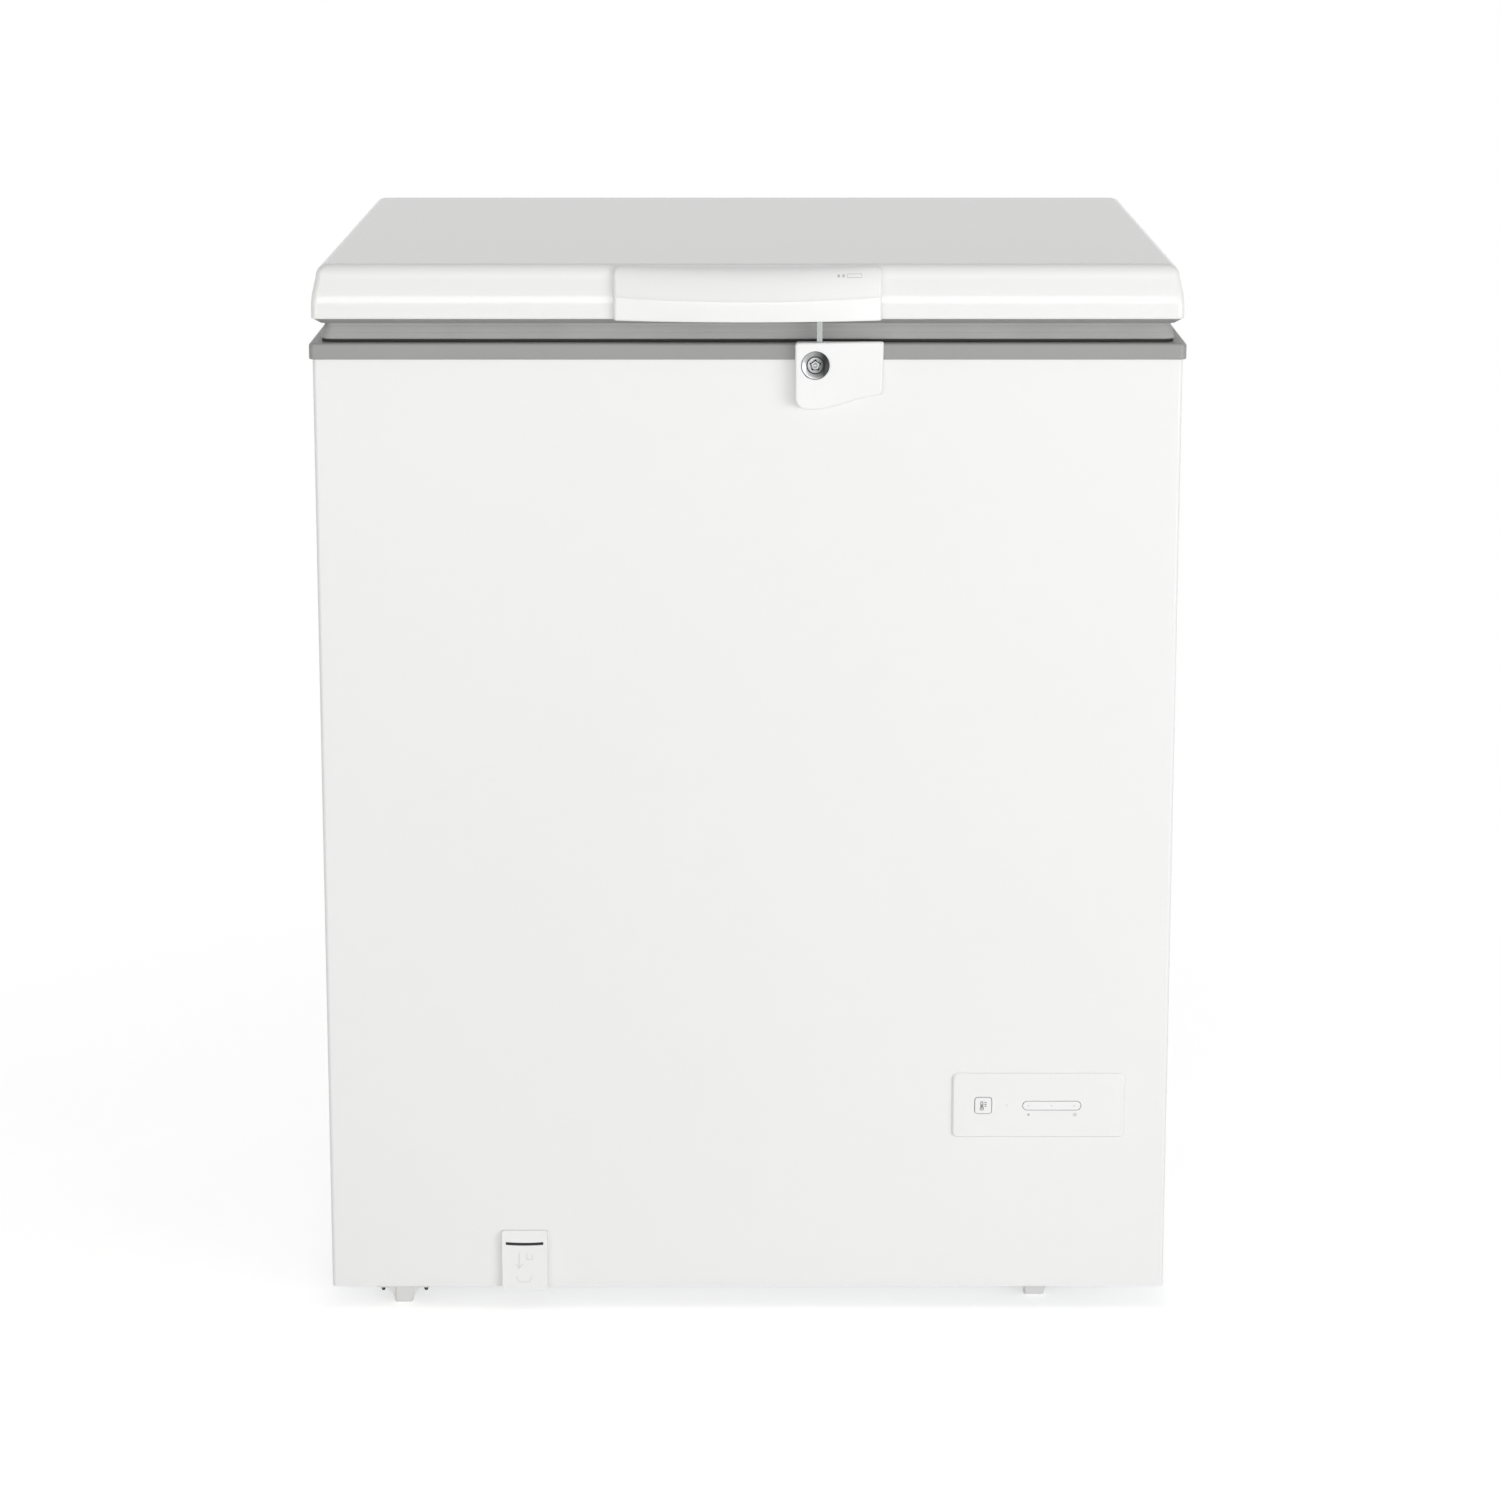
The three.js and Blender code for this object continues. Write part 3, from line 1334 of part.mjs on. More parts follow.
const cabinet = new THREE.Group();
const evaporatorRoute = evaporatorPoints(bayTop + fitGap);
const condenserRoute = condenserPoints(bayTop + fitGap);
addAll(cabinet, [
  ["cabinet_shell", buildShell(), finishes.whiteSheet],
  ["back_panel", buildBackPanel(), finishes.whiteSheet],
  ["bottom_pan", buildBottomPan(), finishes.zincSteel],
  ["compressor_tray", buildTray(), finishes.zincSteel],
  ["bay_bulkhead", buildBulkhead(), finishes.zincSteel],
  ["foam_insulation", buildFoam(), finishes.foam],
  ["inner_liner", buildLiner(), finishes.linerMetal],
  ["rim_frame", buildRim(), finishes.greyPlastic],
  ["evaporator_coil", tube(evaporatorRoute, evaporator.tubeRadius, pipeSides), finishes.copper],
  ["condenser_coil", tube(condenserRoute, condenser.tubeRadius, pipeSides), finishes.copper],
  ["control_panel", buildPanel(), finishes.whitePlastic],
  ["control_board", buildBoard(), finishes.greenBoard],
  ["indicator_lens", buildLens(), finishes.clearGrey],
  ["drain_tube", buildDrainTube(), finishes.whitePlastic],
  ["compressor", buildCompressor(), finishes.blackPaint],
  ["terminal_cover", buildTerminal(), finishes.blackPaint],
  ["filter_drier", buildDrier(), finishes.copper],
  [
    "suction_pipe",
    pipeFromCompressor(-1, [evaporatorX, evaporatorDrop], evaporator.tubeRadius),
    finishes.copper,
  ],
  [
    "discharge_pipe",
    pipeFromCompressor(1, [condenserInlet, condenserBack], condenser.tubeRadius),
    finishes.copper,
  ],
  ["vent_grille", buildGrille(), finishes.whitePlastic],
  ["compressor_cover", buildCover(), finishes.zincSteel],
  ["cord_gland", buildGland(), finishes.darkRubber],
  ["lock_housing", buildLockHousing(), finishes.whitePlastic],
  ["lock_bezel", buildBezel(), finishes.chrome],
]);
cabinet.add(buildFeet());
cabinet.add(buildGrommets());

const movingParts = new THREE.Group();
addAll(movingParts, [
  ["temperature_button", buildButton(), finishes.whitePlastic],
  ["drain_spout", buildSpout(), finishes.whitePlastic],
  ["drain_plug", buildPlug(), finishes.greyRubber],
  ["lock_barrel", buildBarrel(), finishes.chrome],
  ["lock_hook", buildLever(), finishes.zincSteel],
]);

const lidGroup = new THREE.Group();
const lidShell = lidForm(0, lidBottom).subtract(lidForm(lid.sheet, lidBottom - overrun));
addAll(lidGroup, [
  ["lid_shell", lidShell, finishes.whiteSheet],
  ["lid_foam", buildLidFoam(), finishes.foam],
  ["lid_inner_panel", buildLidPanel(), finishes.whitePlastic],
  ["lid_flange", buildLidFlange(), finishes.greyPlastic],
  ["lid_gasket", buildGasket(), finishes.greyRubber],
  ["lid_handle", buildHandle(), finishes.whitePlastic],
  ["lock_strike", buildStrike(), finishes.zincSteel],
]);
const hinges = buildHinges();
cabinet.add(hinges.fixed);
lidGroup.add(hinges.moving);

console.log("hinge spring, least free gap (mm):", leastGap(springPoints(), spring.wireRadius, 5).toFixed(2));
console.log("evaporator, least free gap (mm):", leastGap(evaporatorRoute, evaporator.tubeRadius, 5).toFixed(2));
console.log("condenser, least free gap (mm):", leastGap(condenserRoute, condenser.tubeRadius, 5).toFixed(2));

// The origin is on the floor, in the middle between the handle's front and the hinges' back.
const freezer = new THREE.Group();
freezer.position.y = -(bodyDepth + backReach - frontReach) / 2;
freezer.add(cabinet, movingParts, lidGroup);
const chestFreezer = new THREE.Group();
chestFreezer.add(freezer);

export default chestFreezer;
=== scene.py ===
"""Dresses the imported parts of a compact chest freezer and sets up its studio.

Shapes are drawn in millimetres from the cabinet's front face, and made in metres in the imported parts' frame.
"""

import json
import math
from collections import namedtuple

import bmesh
import bpy
from bpy.props import FloatProperty, FloatVectorProperty, IntProperty, PointerProperty
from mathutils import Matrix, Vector

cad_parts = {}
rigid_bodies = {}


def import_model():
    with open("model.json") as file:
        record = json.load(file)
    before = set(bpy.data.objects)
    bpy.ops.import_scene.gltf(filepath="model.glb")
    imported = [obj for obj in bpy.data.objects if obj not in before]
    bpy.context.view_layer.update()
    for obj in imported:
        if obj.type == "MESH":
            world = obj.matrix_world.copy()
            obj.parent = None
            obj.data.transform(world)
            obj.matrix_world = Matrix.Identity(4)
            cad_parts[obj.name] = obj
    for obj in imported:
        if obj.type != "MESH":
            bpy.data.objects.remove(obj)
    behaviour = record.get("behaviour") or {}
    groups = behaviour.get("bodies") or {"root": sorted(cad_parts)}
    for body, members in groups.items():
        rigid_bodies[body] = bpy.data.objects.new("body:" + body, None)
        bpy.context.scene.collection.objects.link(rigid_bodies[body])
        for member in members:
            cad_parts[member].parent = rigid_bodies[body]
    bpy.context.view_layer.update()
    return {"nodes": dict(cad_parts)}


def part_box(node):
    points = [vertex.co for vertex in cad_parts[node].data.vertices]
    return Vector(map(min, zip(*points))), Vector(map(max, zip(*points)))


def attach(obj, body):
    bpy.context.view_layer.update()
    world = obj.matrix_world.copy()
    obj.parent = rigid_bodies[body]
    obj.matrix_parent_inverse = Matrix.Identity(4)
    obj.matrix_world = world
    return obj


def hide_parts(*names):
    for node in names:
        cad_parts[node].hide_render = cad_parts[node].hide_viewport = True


bl_info = {
    "name": "Compact chest freezer",
    "version": (1, 0, 0),
    "blender": (4, 5, 0),
    "location": "3D View > Sidebar > Freezer",
    "description": "Dresses the packed parts of a compact chest freezer and sets up its studio",
    "category": "Object",
}

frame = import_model()

MM = 0.001
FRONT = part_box("cabinet_shell")[0].y


class Box(namedtuple("Box", "left right front back bottom top")):
    """A part's box in millimetres, with depths from the cabinet's front face."""

    def middle(self, axis):
        return sum({"x": self[0:2], "y": self[2:4], "z": self[4:6]}[axis]) / 2

    def outline(self, axis, inset, radius, steps=None):
        """The box seen along an axis, moved inwards, with round corners."""
        low_a, high_a, low_b, high_b = {"x": self[2:6], "y": self[0:2] + self[4:6], "z": self[0:4]}[axis]
        return rounded(low_a + inset, high_a - inset, low_b + inset, high_b - inset, radius, steps)

    def slab(self, inset, front, back):
        """A plain block within the box's sides, between two depths."""
        across, up = (self.left + inset, self.right - inset), (self.bottom + inset, self.top - inset)
        return block(*across, front, back, *up)


def box_of(node):
    low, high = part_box(node)
    depths = (low.y - FRONT) / MM, (high.y - FRONT) / MM
    return Box(low.x / MM, high.x / MM, *depths, low.z / MM, high.z / MM)


BODY = box_of("cabinet_shell")
BACK = box_of("back_panel").back
CABINET = BODY._replace(back=BACK)
RIM = box_of("rim_frame")
LID = box_of("lid_shell")
LINER = box_of("inner_liner")
HOUSING = box_of("lock_housing")
BEZEL = box_of("lock_bezel")
PANEL = box_of("control_panel")
BUTTON = box_of("temperature_button")
LENS = box_of("indicator_lens")
SPOUT = box_of("drain_spout")
PLUG = box_of("drain_plug")
GRILLE = box_of("vent_grille")
COVER = box_of("compressor_cover")
HANDLE = box_of("lid_handle")

WALL_GAP = 0.3
STEEL = 0.8
OVERRUN = 5
THROUGH_FRONT = (-OVERRUN, 6)
LOCK = (BEZEL.middle("x"), BEZEL.middle("z"))
DRAIN = (SPOUT.middle("x"), 40)
DRAIN_BORE = 8.1
PLUG_DEPTH = 96
PANEL_BOSS = 6
GRILLE_BORDER = 15
CORD_ENTRY = (214, 58)
CORNERS = ("front_left", "front_right", "rear_left", "rear_right")


# Sizes, colours and studio values that a user can change


def length(name, about, value):
    return FloatProperty(name=name, description=about, default=value, unit="LENGTH")


def power(name, about, value):
    return FloatProperty(name=name, description=about, default=value, unit="POWER")


def tone(name, about, *value):
    return FloatVectorProperty(name=name, description=about, default=value, subtype="COLOR", min=0, max=1)


class FreezerSizes(bpy.types.PropertyGroup):
    """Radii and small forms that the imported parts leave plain"""

    corner_steps: IntProperty(name="Corner steps", description="Faces round each corner", default=10, min=2)
    shell_radius: length("Cabinet corner", "Radius of the sheet at the front corners", 0.004)
    rim_edge: length("Rim edge", "Radius of the grey frame's upper edge", 0.0026)
    lid_corner: length("Lid corner", "Radius of the lid's corners from above", 0.006)
    handle_end: length("Handle end", "Radius at both ends of the handle", 0.0028)
    handle_top_corner: length("Handle top corner", "Radius of the handle's upper corners", 0.007)
    housing_edge: length("Lock housing edge", "Radius round the lock housing's front", 0.0022)
    panel_edge: length("Panel edge", "Slope round the control panel", 0.0014)
    panel_top_edge: length("Panel top slope", "Slope along the control panel's upper edge", 0.0038)
    liner_floor_radius: length("Tub floor radius", "Radius where the tub's walls meet its floor", 0.009)


class FreezerColours(bpy.types.PropertyGroup):
    """Colours of the finishes"""

    enamel: tone("Cabinet enamel", "Painted sheet", 0.82, 0.82, 0.815)
    lid_enamel: tone("Lid enamel", "Painted lid", 0.82, 0.82, 0.81)
    plastic: tone("White plastic", "Handle, lock and panel", 0.835, 0.835, 0.83)
    rim: tone("Grey plastic", "Frame round the opening", 0.3, 0.3, 0.295)
    gasket: tone("Gasket", "Rubber seal of the lid", 0.385, 0.385, 0.38)
    print_grey: tone("Print", "Printed marks", 0.22, 0.22, 0.22)


class FreezerStudio(bpy.types.PropertyGroup):
    """Camera and lamps"""

    camera_distance: length("Camera distance", "From the cabinet's front face", 3.6)
    camera_height: length("Camera height", "Above the floor", 1.354)
    camera_side: length("Camera offset", "Sideways from the middle", 0.002)
    camera_pitch: FloatProperty(
        name="Camera pitch", description="Downward tilt", default=math.radians(12.04), subtype="ANGLE"
    )
    lens: FloatProperty(name="Lens", description="Focal length in millimetres", default=100.3)
    shift: FloatProperty(name="Shift", description="Vertical shift of the lens", default=-0.05)
    sky: FloatProperty(name="Sky", description="Strength of the even light from all round", default=0.46)
    key: power("Key lamp", "Power of the large lamp at the front right", 53.0)
    fill: power("Fill lamp", "Power of the lamp at the front left", 18.0)
    strip: power("Strip lamp", "Power of the lamp behind the camera", 38.0)
    rear: power("Rear lamp", "Power of the lamps behind the freezer", 34.0)


def sizes(name):
    """One of the sizes, in millimetres."""
    return getattr(bpy.context.scene.freezer_sizes, name) / MM


def corner_steps():
    return bpy.context.scene.freezer_sizes.corner_steps


def colour(name):
    return tuple(getattr(bpy.context.scene.freezer_colours, name))


# Outlines


def rounded(low_a, high_a, low_b, high_b, radius, steps=None):
    """A rectangle with round corners, anticlockwise from its lower right corner."""
    steps = steps or corner_steps()
    a_centres, b_centres = (low_a + radius, high_a - radius), (low_b + radius, high_b - radius)
    points = []
    for a, b, quarter in ((1, 0, 3), (1, 1, 0), (0, 1, 1), (0, 0, 2)):
        for i in range(steps + 1):
            angle = math.pi / 2 * (quarter + i / steps)
            points.append((a_centres[a] + radius * math.cos(angle), b_centres[b] + radius * math.sin(angle)))
    return points


def arc(start, end, steps=5, radius=1):
    """Pairs of (across, up) round a circle between two angles in degrees."""
    turns = [math.radians(start + (end - start) * i / steps) for i in range(steps + 1)]
    return [(radius * math.cos(t), radius * math.sin(t)) for t in turns]


def circle(a, b, radius, count, start=0.0):
    turns = [math.tau * (i + start) / count for i in range(count)]
    return [(a + radius * math.cos(t), b + radius * math.sin(t)) for t in turns]


def mitre(into, out):
    """The sideways step at a corner, for a line moved by one unit to its left."""
    sides = Vector((-into.y, into.x)), Vector((-out.y, out.x))
    return (sides[0] + sides[1]) / (1 + sides[0].dot(sides[1]))


def filleted(corners, inset=0.0, steps=6):
    """A closed anticlockwise outline from corners of (a, b, radius), moved inwards."""
    spots = [Vector(corner[:2]) for corner in corners]
    points = []
    for i, (_, _, radius) in enumerate(corners):
        into = (spots[i] - spots[i - 1]).normalized()
        out = (spots[(i + 1) % len(spots)] - spots[i]).normalized()
        side = Vector((-into.y, into.x))
        angle = math.atan2(into.cross(out), into.dot(out))
        way = math.copysign(1, angle)
        radius = max(radius - way * inset, 0.3)
        corner = spots[i] + mitre(into, out) * inset
        start = corner - into * radius * math.tan(abs(angle) / 2)
        centre = start + side * way * radius
        spoke = start - centre
        for k in range(steps + 1):
            cosine, sine = math.cos(angle * k / steps), math.sin(angle * k / steps)
            across, up = spoke.x * cosine - spoke.y * sine, spoke.x * sine + spoke.y * cosine
            points.append((centre.x + across, centre.y + up))
    return points


def drawn_in(outline, inset):
    """A closed anticlockwise outline moved inwards, with its corners mitred."""
    moved = []
    for i, point in enumerate(outline):
        here = Vector(point)
        into = (here - Vector(outline[i - 1])).normalized()
        out = (Vector(outline[(i + 1) % len(outline)]) - here).normalized()
        moved.append(tuple(here + mitre(into, out) * inset))
    return moved


def curve_through(points, steps):
    """A smooth curve through points, with that many steps between two of them."""
    spots = [Vector(p) for p in points]
    ends = [2 * spots[0] - spots[1], *spots, 2 * spots[-1] - spots[-2]]
    line = []
    for a, b, c, d in zip(ends, ends[1:], ends[2:], ends[3:]):
        for i in range(steps):
            t = i / steps
            bend = 2 * b + (c - a) * t + (2 * a - 5 * b + 4 * c - d) * t**2 + (3 * b - a - 3 * c + d) * t**3
            line.append(tuple(bend / 2))
    return [*line, tuple(spots[-1])]


# Forms


class Form:
    """A mesh in the making, in millimetres from the cabinet's front face."""

    def __init__(self):
        self.points = []
        self.faces = []

    def bridge(self, one, other):
        for i in range(len(one)):
            j = (i + 1) % len(one)
            self.faces.append((one[i], one[j], other[j], other[i]))

    def skin(self, loops):
        """Adds loops of points, each joined to the next, and gives their rings of numbers."""
        rings = []
        for loop in loops:
            first = len(self.points)
            self.points += [tuple(p) for p in loop]
            rings.append(list(range(first, len(self.points))))
        for one, other in zip(rings, rings[1:]):
            self.bridge(one, other)
        return rings

    def add(self, other):
        first = len(self.points)
        self.points += other.points
        self.faces += [tuple(first + i for i in face) for face in other.faces]
        return self

    def mesh(self, name):
        """The form as a mesh in the row frame, with its points merged and its faces turned outwards."""
        made = bpy.data.meshes.new(name)
        places = [(x * MM, FRONT + y * MM, z * MM) for x, y, z in self.points]
        made.from_pydata(places, [], self.faces)
        work = bmesh.new()
        work.from_mesh(made)
        bmesh.ops.remove_doubles(work, verts=work.verts, dist=1e-7)
        bmesh.ops.recalc_face_normals(work, faces=work.faces)
        work.to_mesh(made)
        work.free()
        return made


def loft(loops, ring=False):
    """A body through loops of equally many points: closed by end faces, or into a ring."""
    form = Form()
    rings = form.skin(loops)
    if ring:
        form.bridge(rings[-1], rings[0])
    else:
        form.faces += [tuple(rings[0]), tuple(rings[-1])]
    return form


def cup(outer, inner):
    """A shell between two skins, which meet at their first loops and are closed at their last."""
    form = Form()
    skins = form.skin(outer), form.skin(inner)
    form.faces += [tuple(rings[-1]) for rings in skins]
    form.bridge(skins[0][0], skins[1][0])
    return form


def flat_loop(axis, outline, depth):
    """An outline laid at a depth along an axis."""
    spots = {
        "x": lambda a, b: (depth, a, b),
        "y": lambda a, b: (a, depth, b),
        "z": lambda a, b: (a, b, depth),
    }
    return [spots[axis](a, b) for a, b in outline]


def prism(axis, outline, start, end):
    return loft([flat_loop(axis, outline, start), flat_loop(axis, outline, end)])


def block(left, right, front, back, bottom, top):
    return prism("z", [(left, front), (right, front), (right, back), (left, back)], bottom, top)


def turned(axis, profile, centre, count=48, ring=False):
    """Points of (radius, place along the axis) turned round that axis."""
    loops = [flat_loop(axis, circle(*centre, max(radius, 0.01), count), along) for radius, along in profile]
    return loft(loops, ring)


def tube(path, radius, count=12):
    """A round rod along a path, with end faces."""
    spots = [Vector(p) for p in path]
    loops = []
    side = None
    for i, spot in enumerate(spots):
        along = (spots[min(i + 1, len(spots) - 1)] - spots[max(i - 1, 0)]).normalized()
        if side is None:
            side = along.orthogonal().normalized()
        side = (side - along * side.dot(along)).normalized()
        other = along.cross(side)
        loops.append([spot + a * side + b * other for a, b in circle(0, 0, radius, count)])
    return loft(loops)


def stroke(points, width, depth, surface, closed=False):
    """A flat line of print or relief on a surface given as y at (x, z)."""
    spots = [Vector(p) for p in points]
    count = len(spots)
    loops = []
    for i, spot in enumerate(spots):
        start = i - 1 if closed or i else 0
        end = i if closed or i + 1 < count else i - 1
        into = (spots[(start + 1) % count] - spots[start]).normalized()
        out = (spots[(end + 1) % count] - spots[end]).normalized()
        across = mitre(into, out) * width / 2
        corners = ((1, depth), (1, -depth), (-1, -depth), (-1, depth))
        places = [(spot + across * side, lift) for side, lift in corners]
        loops.append([(place.x, surface(*place) + lift, place.y) for place, lift in places])
    return loft(loops, ring=closed)


def level(depth):
    """A flat surface for strokes."""
    return lambda x, z: depth


def as_mesh(shape, name):
    return shape.mesh(name) if isinstance(shape, Form) else shape


def linked(name, mesh):
    thing = bpy.data.objects.new(name, mesh)
    bpy.context.scene.collection.objects.link(thing)
    return thing


def settled(thing):
    """Makes an object's modifiers final, so that its mesh is plain."""
    graph = bpy.context.evaluated_depsgraph_get()
    old = thing.data
    made = bpy.data.meshes.new_from_object(thing.evaluated_get(graph))
    thing.modifiers.clear()
    thing.data = made
    made.name = thing.name
    if old.users == 0:
        bpy.data.meshes.remove(old)
    return thing


def bevelled(thing, width, segments, angle):
    """Rounds the edges of an object that bend by more than an angle."""
    edges = thing.modifiers.new("edges", "BEVEL")
    edges.width = width * MM
    edges.segments = segments
    edges.limit_method = "ANGLE"
    edges.angle_limit = math.radians(angle)
    return settled(thing)


def combined(shape, others, operation):
    thing = linked("work", as_mesh(shape, "work"))
    helpers = [linked("helper", as_mesh(other, "helper")) for other in others]
    for helper in helpers:
        step = thing.modifiers.new("combine", "BOOLEAN")
        step.solver = "EXACT"
        step.operation = operation
        step.object = helper
    made = settled(thing).data
    if not made.polygons:
        raise RuntimeError("A cut left nothing of a shape")
    for helper in helpers:
        unused = helper.data
        bpy.data.objects.remove(helper)
        bpy.data.meshes.remove(unused)
    bpy.data.objects.remove(thing)
    return made


def carved(shape, *cutters):
    return combined(shape, cutters, "DIFFERENCE")


def fused(shape, *others):
    return combined(shape, others, "UNION")


def add_piece(name, shape, look, body, slot, *stands_for, bevel=0.0, segments=3, angle=35.0, smooth=35.0):
    """A finished piece: bevelled, smoothed, painted and riding on its body."""
    thing = linked(name, as_mesh(shape, name))
    if bevel:
        bevelled(thing, bevel, segments, angle)
    thing.data.shade_smooth()
    thing.data.set_sharp_from_angle(angle=math.radians(smooth))
    even = thing.modifiers.new("even shading", "WEIGHTED_NORMAL")
    even.keep_sharp = True
    settled(thing)
    thing.data.materials.clear()
    thing.data.materials.append(Finish.made[look])
    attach(thing, body)
    if stands_for:
        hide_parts(*stands_for)
    return thing


# Node trees


class Nodes:
    """A node tree in the making, with short ways to add nodes and to feed them."""

    def __init__(self, tree):
        self.tree = tree

    def feed(self, node, values):
        """Sets or links a node's inputs. The sockets of a list all go to one input."""
        for name, value in values.items():
            for source in value if isinstance(value, list) else [value]:
                if isinstance(source, bpy.types.NodeSocket):
                    self.tree.links.new(source, node.inputs[name])
                else:
                    node.inputs[name].default_value = source

    def add(self, kind, values=None, **settings):
        node = self.tree.nodes.new(kind)
        for key, value in settings.items():
            setattr(node, key, value)
        self.feed(node, values or {})
        return node

    def out(self, kind, values=None, **settings):
        """Adds a node and gives its first output."""
        return self.add(kind, values, **settings).outputs[0]


class Finish(Nodes):
    """A procedural material: its shader, and short ways to lay a pattern on it."""

    made = {}

    def __init__(self, name, base, roughness, metallic=0.0, **fixed):
        self.material = bpy.data.materials.new(name)
        self.material.use_nodes = True
        self.material.diffuse_color = (*base, 1)
        super().__init__(self.material.node_tree)
        self.shader = self.tree.nodes["Principled BSDF"]
        self.feed(self.shader, {"Base Color": (*base, 1), "Roughness": roughness, "Metallic": metallic})
        self.feed(self.shader, {socket.replace("_", " "): value for socket, value in fixed.items()})
        Finish.made[name] = self.material

    def place(self, **mapping):
        where = self.add("ShaderNodeTexCoord").outputs["Object"]
        return self.out("ShaderNodeMapping", {"Vector": where, **mapping})

    def noise(self, scale, detail=3.0, stretch=(1, 1, 1)):
        values = {"Vector": self.place(Scale=stretch), "Scale": scale, "Detail": detail}
        return self.out("ShaderNodeTexNoise", values)

    def cells(self, scale, feature="SMOOTH_F1"):
        return self.out("ShaderNodeTexVoronoi", {"Vector": self.place(), "Scale": scale}, feature=feature)

    def span(self, factor, low, high):
        values = {"Value": factor, "From Min": 0.3, "From Max": 0.7, "To Min": low, "To Max": high}
        return self.out("ShaderNodeMapRange", values)

    def tint(self, factor, low, high):
        """Base colour between two colours by a factor."""
        mix = self.add("ShaderNodeMix", data_type="RGBA")
        for socket, value in ((0, self.span(factor, 0, 1)), (6, (*low, 1)), (7, (*high, 1))):
            self.feed(mix, {socket: value})
        self.feed(self.shader, {"Base Color": mix.outputs[2]})

    def gloss(self, factor, low, high):
        self.feed(self.shader, {"Roughness": self.span(factor, low, high)})

    def relief(self, factor, depth):
        """A bump of a depth in millimetres."""
        bump = self.out("ShaderNodeBump", {"Height": factor, "Distance": depth * MM, "Strength": 1.0})
        self.feed(self.shader, {"Normal": bump})


def shade(base, share):
    return tuple(min(1.0, c * share) for c in base)


def painted(name, base, roughness, peel, coat):
    """Powder-coated sheet: a faint orange peel under an even gloss."""
    finish = Finish(name, base, roughness, Coat_Weight=coat, Coat_Roughness=0.12)
    finish.tint(finish.noise(2.4, 2.0), shade(base, 0.985), base)
    finish.gloss(finish.noise(60.0, 2.0), roughness - 0.03, roughness + 0.04)
    finish.relief(finish.noise(420.0, 2.0), peel)


def moulded(name, base, roughness, grain, size=900.0, coat=0.0):
    """Moulded plastic: a fine grain and a cloudy gloss."""
    finish = Finish(name, base, roughness, Coat_Weight=coat, Coat_Roughness=0.22)
    finish.tint(finish.noise(9.0), shade(base, 0.975), base)
    finish.gloss(finish.noise(140.0, 2.0), roughness - 0.04, roughness + 0.05)
    finish.relief(finish.noise(size), grain)


def rubber(name, base, grain, sheen):
    finish = Finish(name, base, 0.72, Sheen_Weight=sheen, Sheen_Roughness=0.5)
    finish.tint(finish.noise(16.0, 4.0), shade(base, 0.93), shade(base, 1.03))
    finish.relief(finish.noise(1400.0), grain)


def galvanised(name, base, roughness):
    """Zinc-plated sheet: faint spangles and rolling lines."""
    finish = Finish(name, base, roughness, 1.0)
    finish.tint(finish.cells(90.0, "F1"), shade(base, 0.86), shade(base, 1.04))
    finish.gloss(finish.noise(30.0, 4.0, (1, 1, 14)), roughness - 0.08, roughness + 0.1)
    finish.relief(finish.noise(700.0, 3.0, (1, 1, 6)), 0.008)


def brushed(name, base, roughness, stretch):
    finish = Finish(name, base, roughness, 1.0)
    lines = finish.noise(420.0, 4.0, stretch)
    finish.tint(lines, shade(base, 0.9), shade(base, 1.05))
    finish.gloss(lines, roughness - 0.05, roughness + 0.1)
    finish.relief(lines, 0.004)


def embossed(name, base):
    """Stucco-embossed aluminium sheet of the tub."""
    finish = Finish(name, base, 0.45, 0.8)
    finish.tint(finish.noise(6.0), shade(base, 0.97), base)
    finish.gloss(finish.noise(300.0, 2.0), 0.4, 0.5)
    finish.relief(finish.cells(150.0), 0.9)


def spun(name, base, centre):
    """Chrome turned on a lathe: rings round the lock's axis, with a painted reflection that is darker at the
    right.
    """
    finish = Finish(name, base, 0.16, 1.0)
    spot = finish.place(Location=tuple(-c for c in centre))
    values = {"Vector": spot, "Scale": 900.0, "Distortion": 1.5, "Detail": 3.0}
    wave = finish.add("ShaderNodeTexWave", values, wave_type="RINGS", rings_direction="Y")
    finish.gloss(wave.outputs[1], 0.3, 0.38)
    finish.relief(wave.outputs[1], 0.0015)
    # Painted reflection and shade: the base colour darkens from the left of the lock to its right.
    across = finish.out("ShaderNodeSeparateXYZ", {"Vector": spot})
    painted_reflection_ramp = finish.out("ShaderNodeMapRange", {"Value": across, "From Min": -0.011, "From Max": 0.015})
    finish.tint(painted_reflection_ramp, base, shade(base, 0.1))


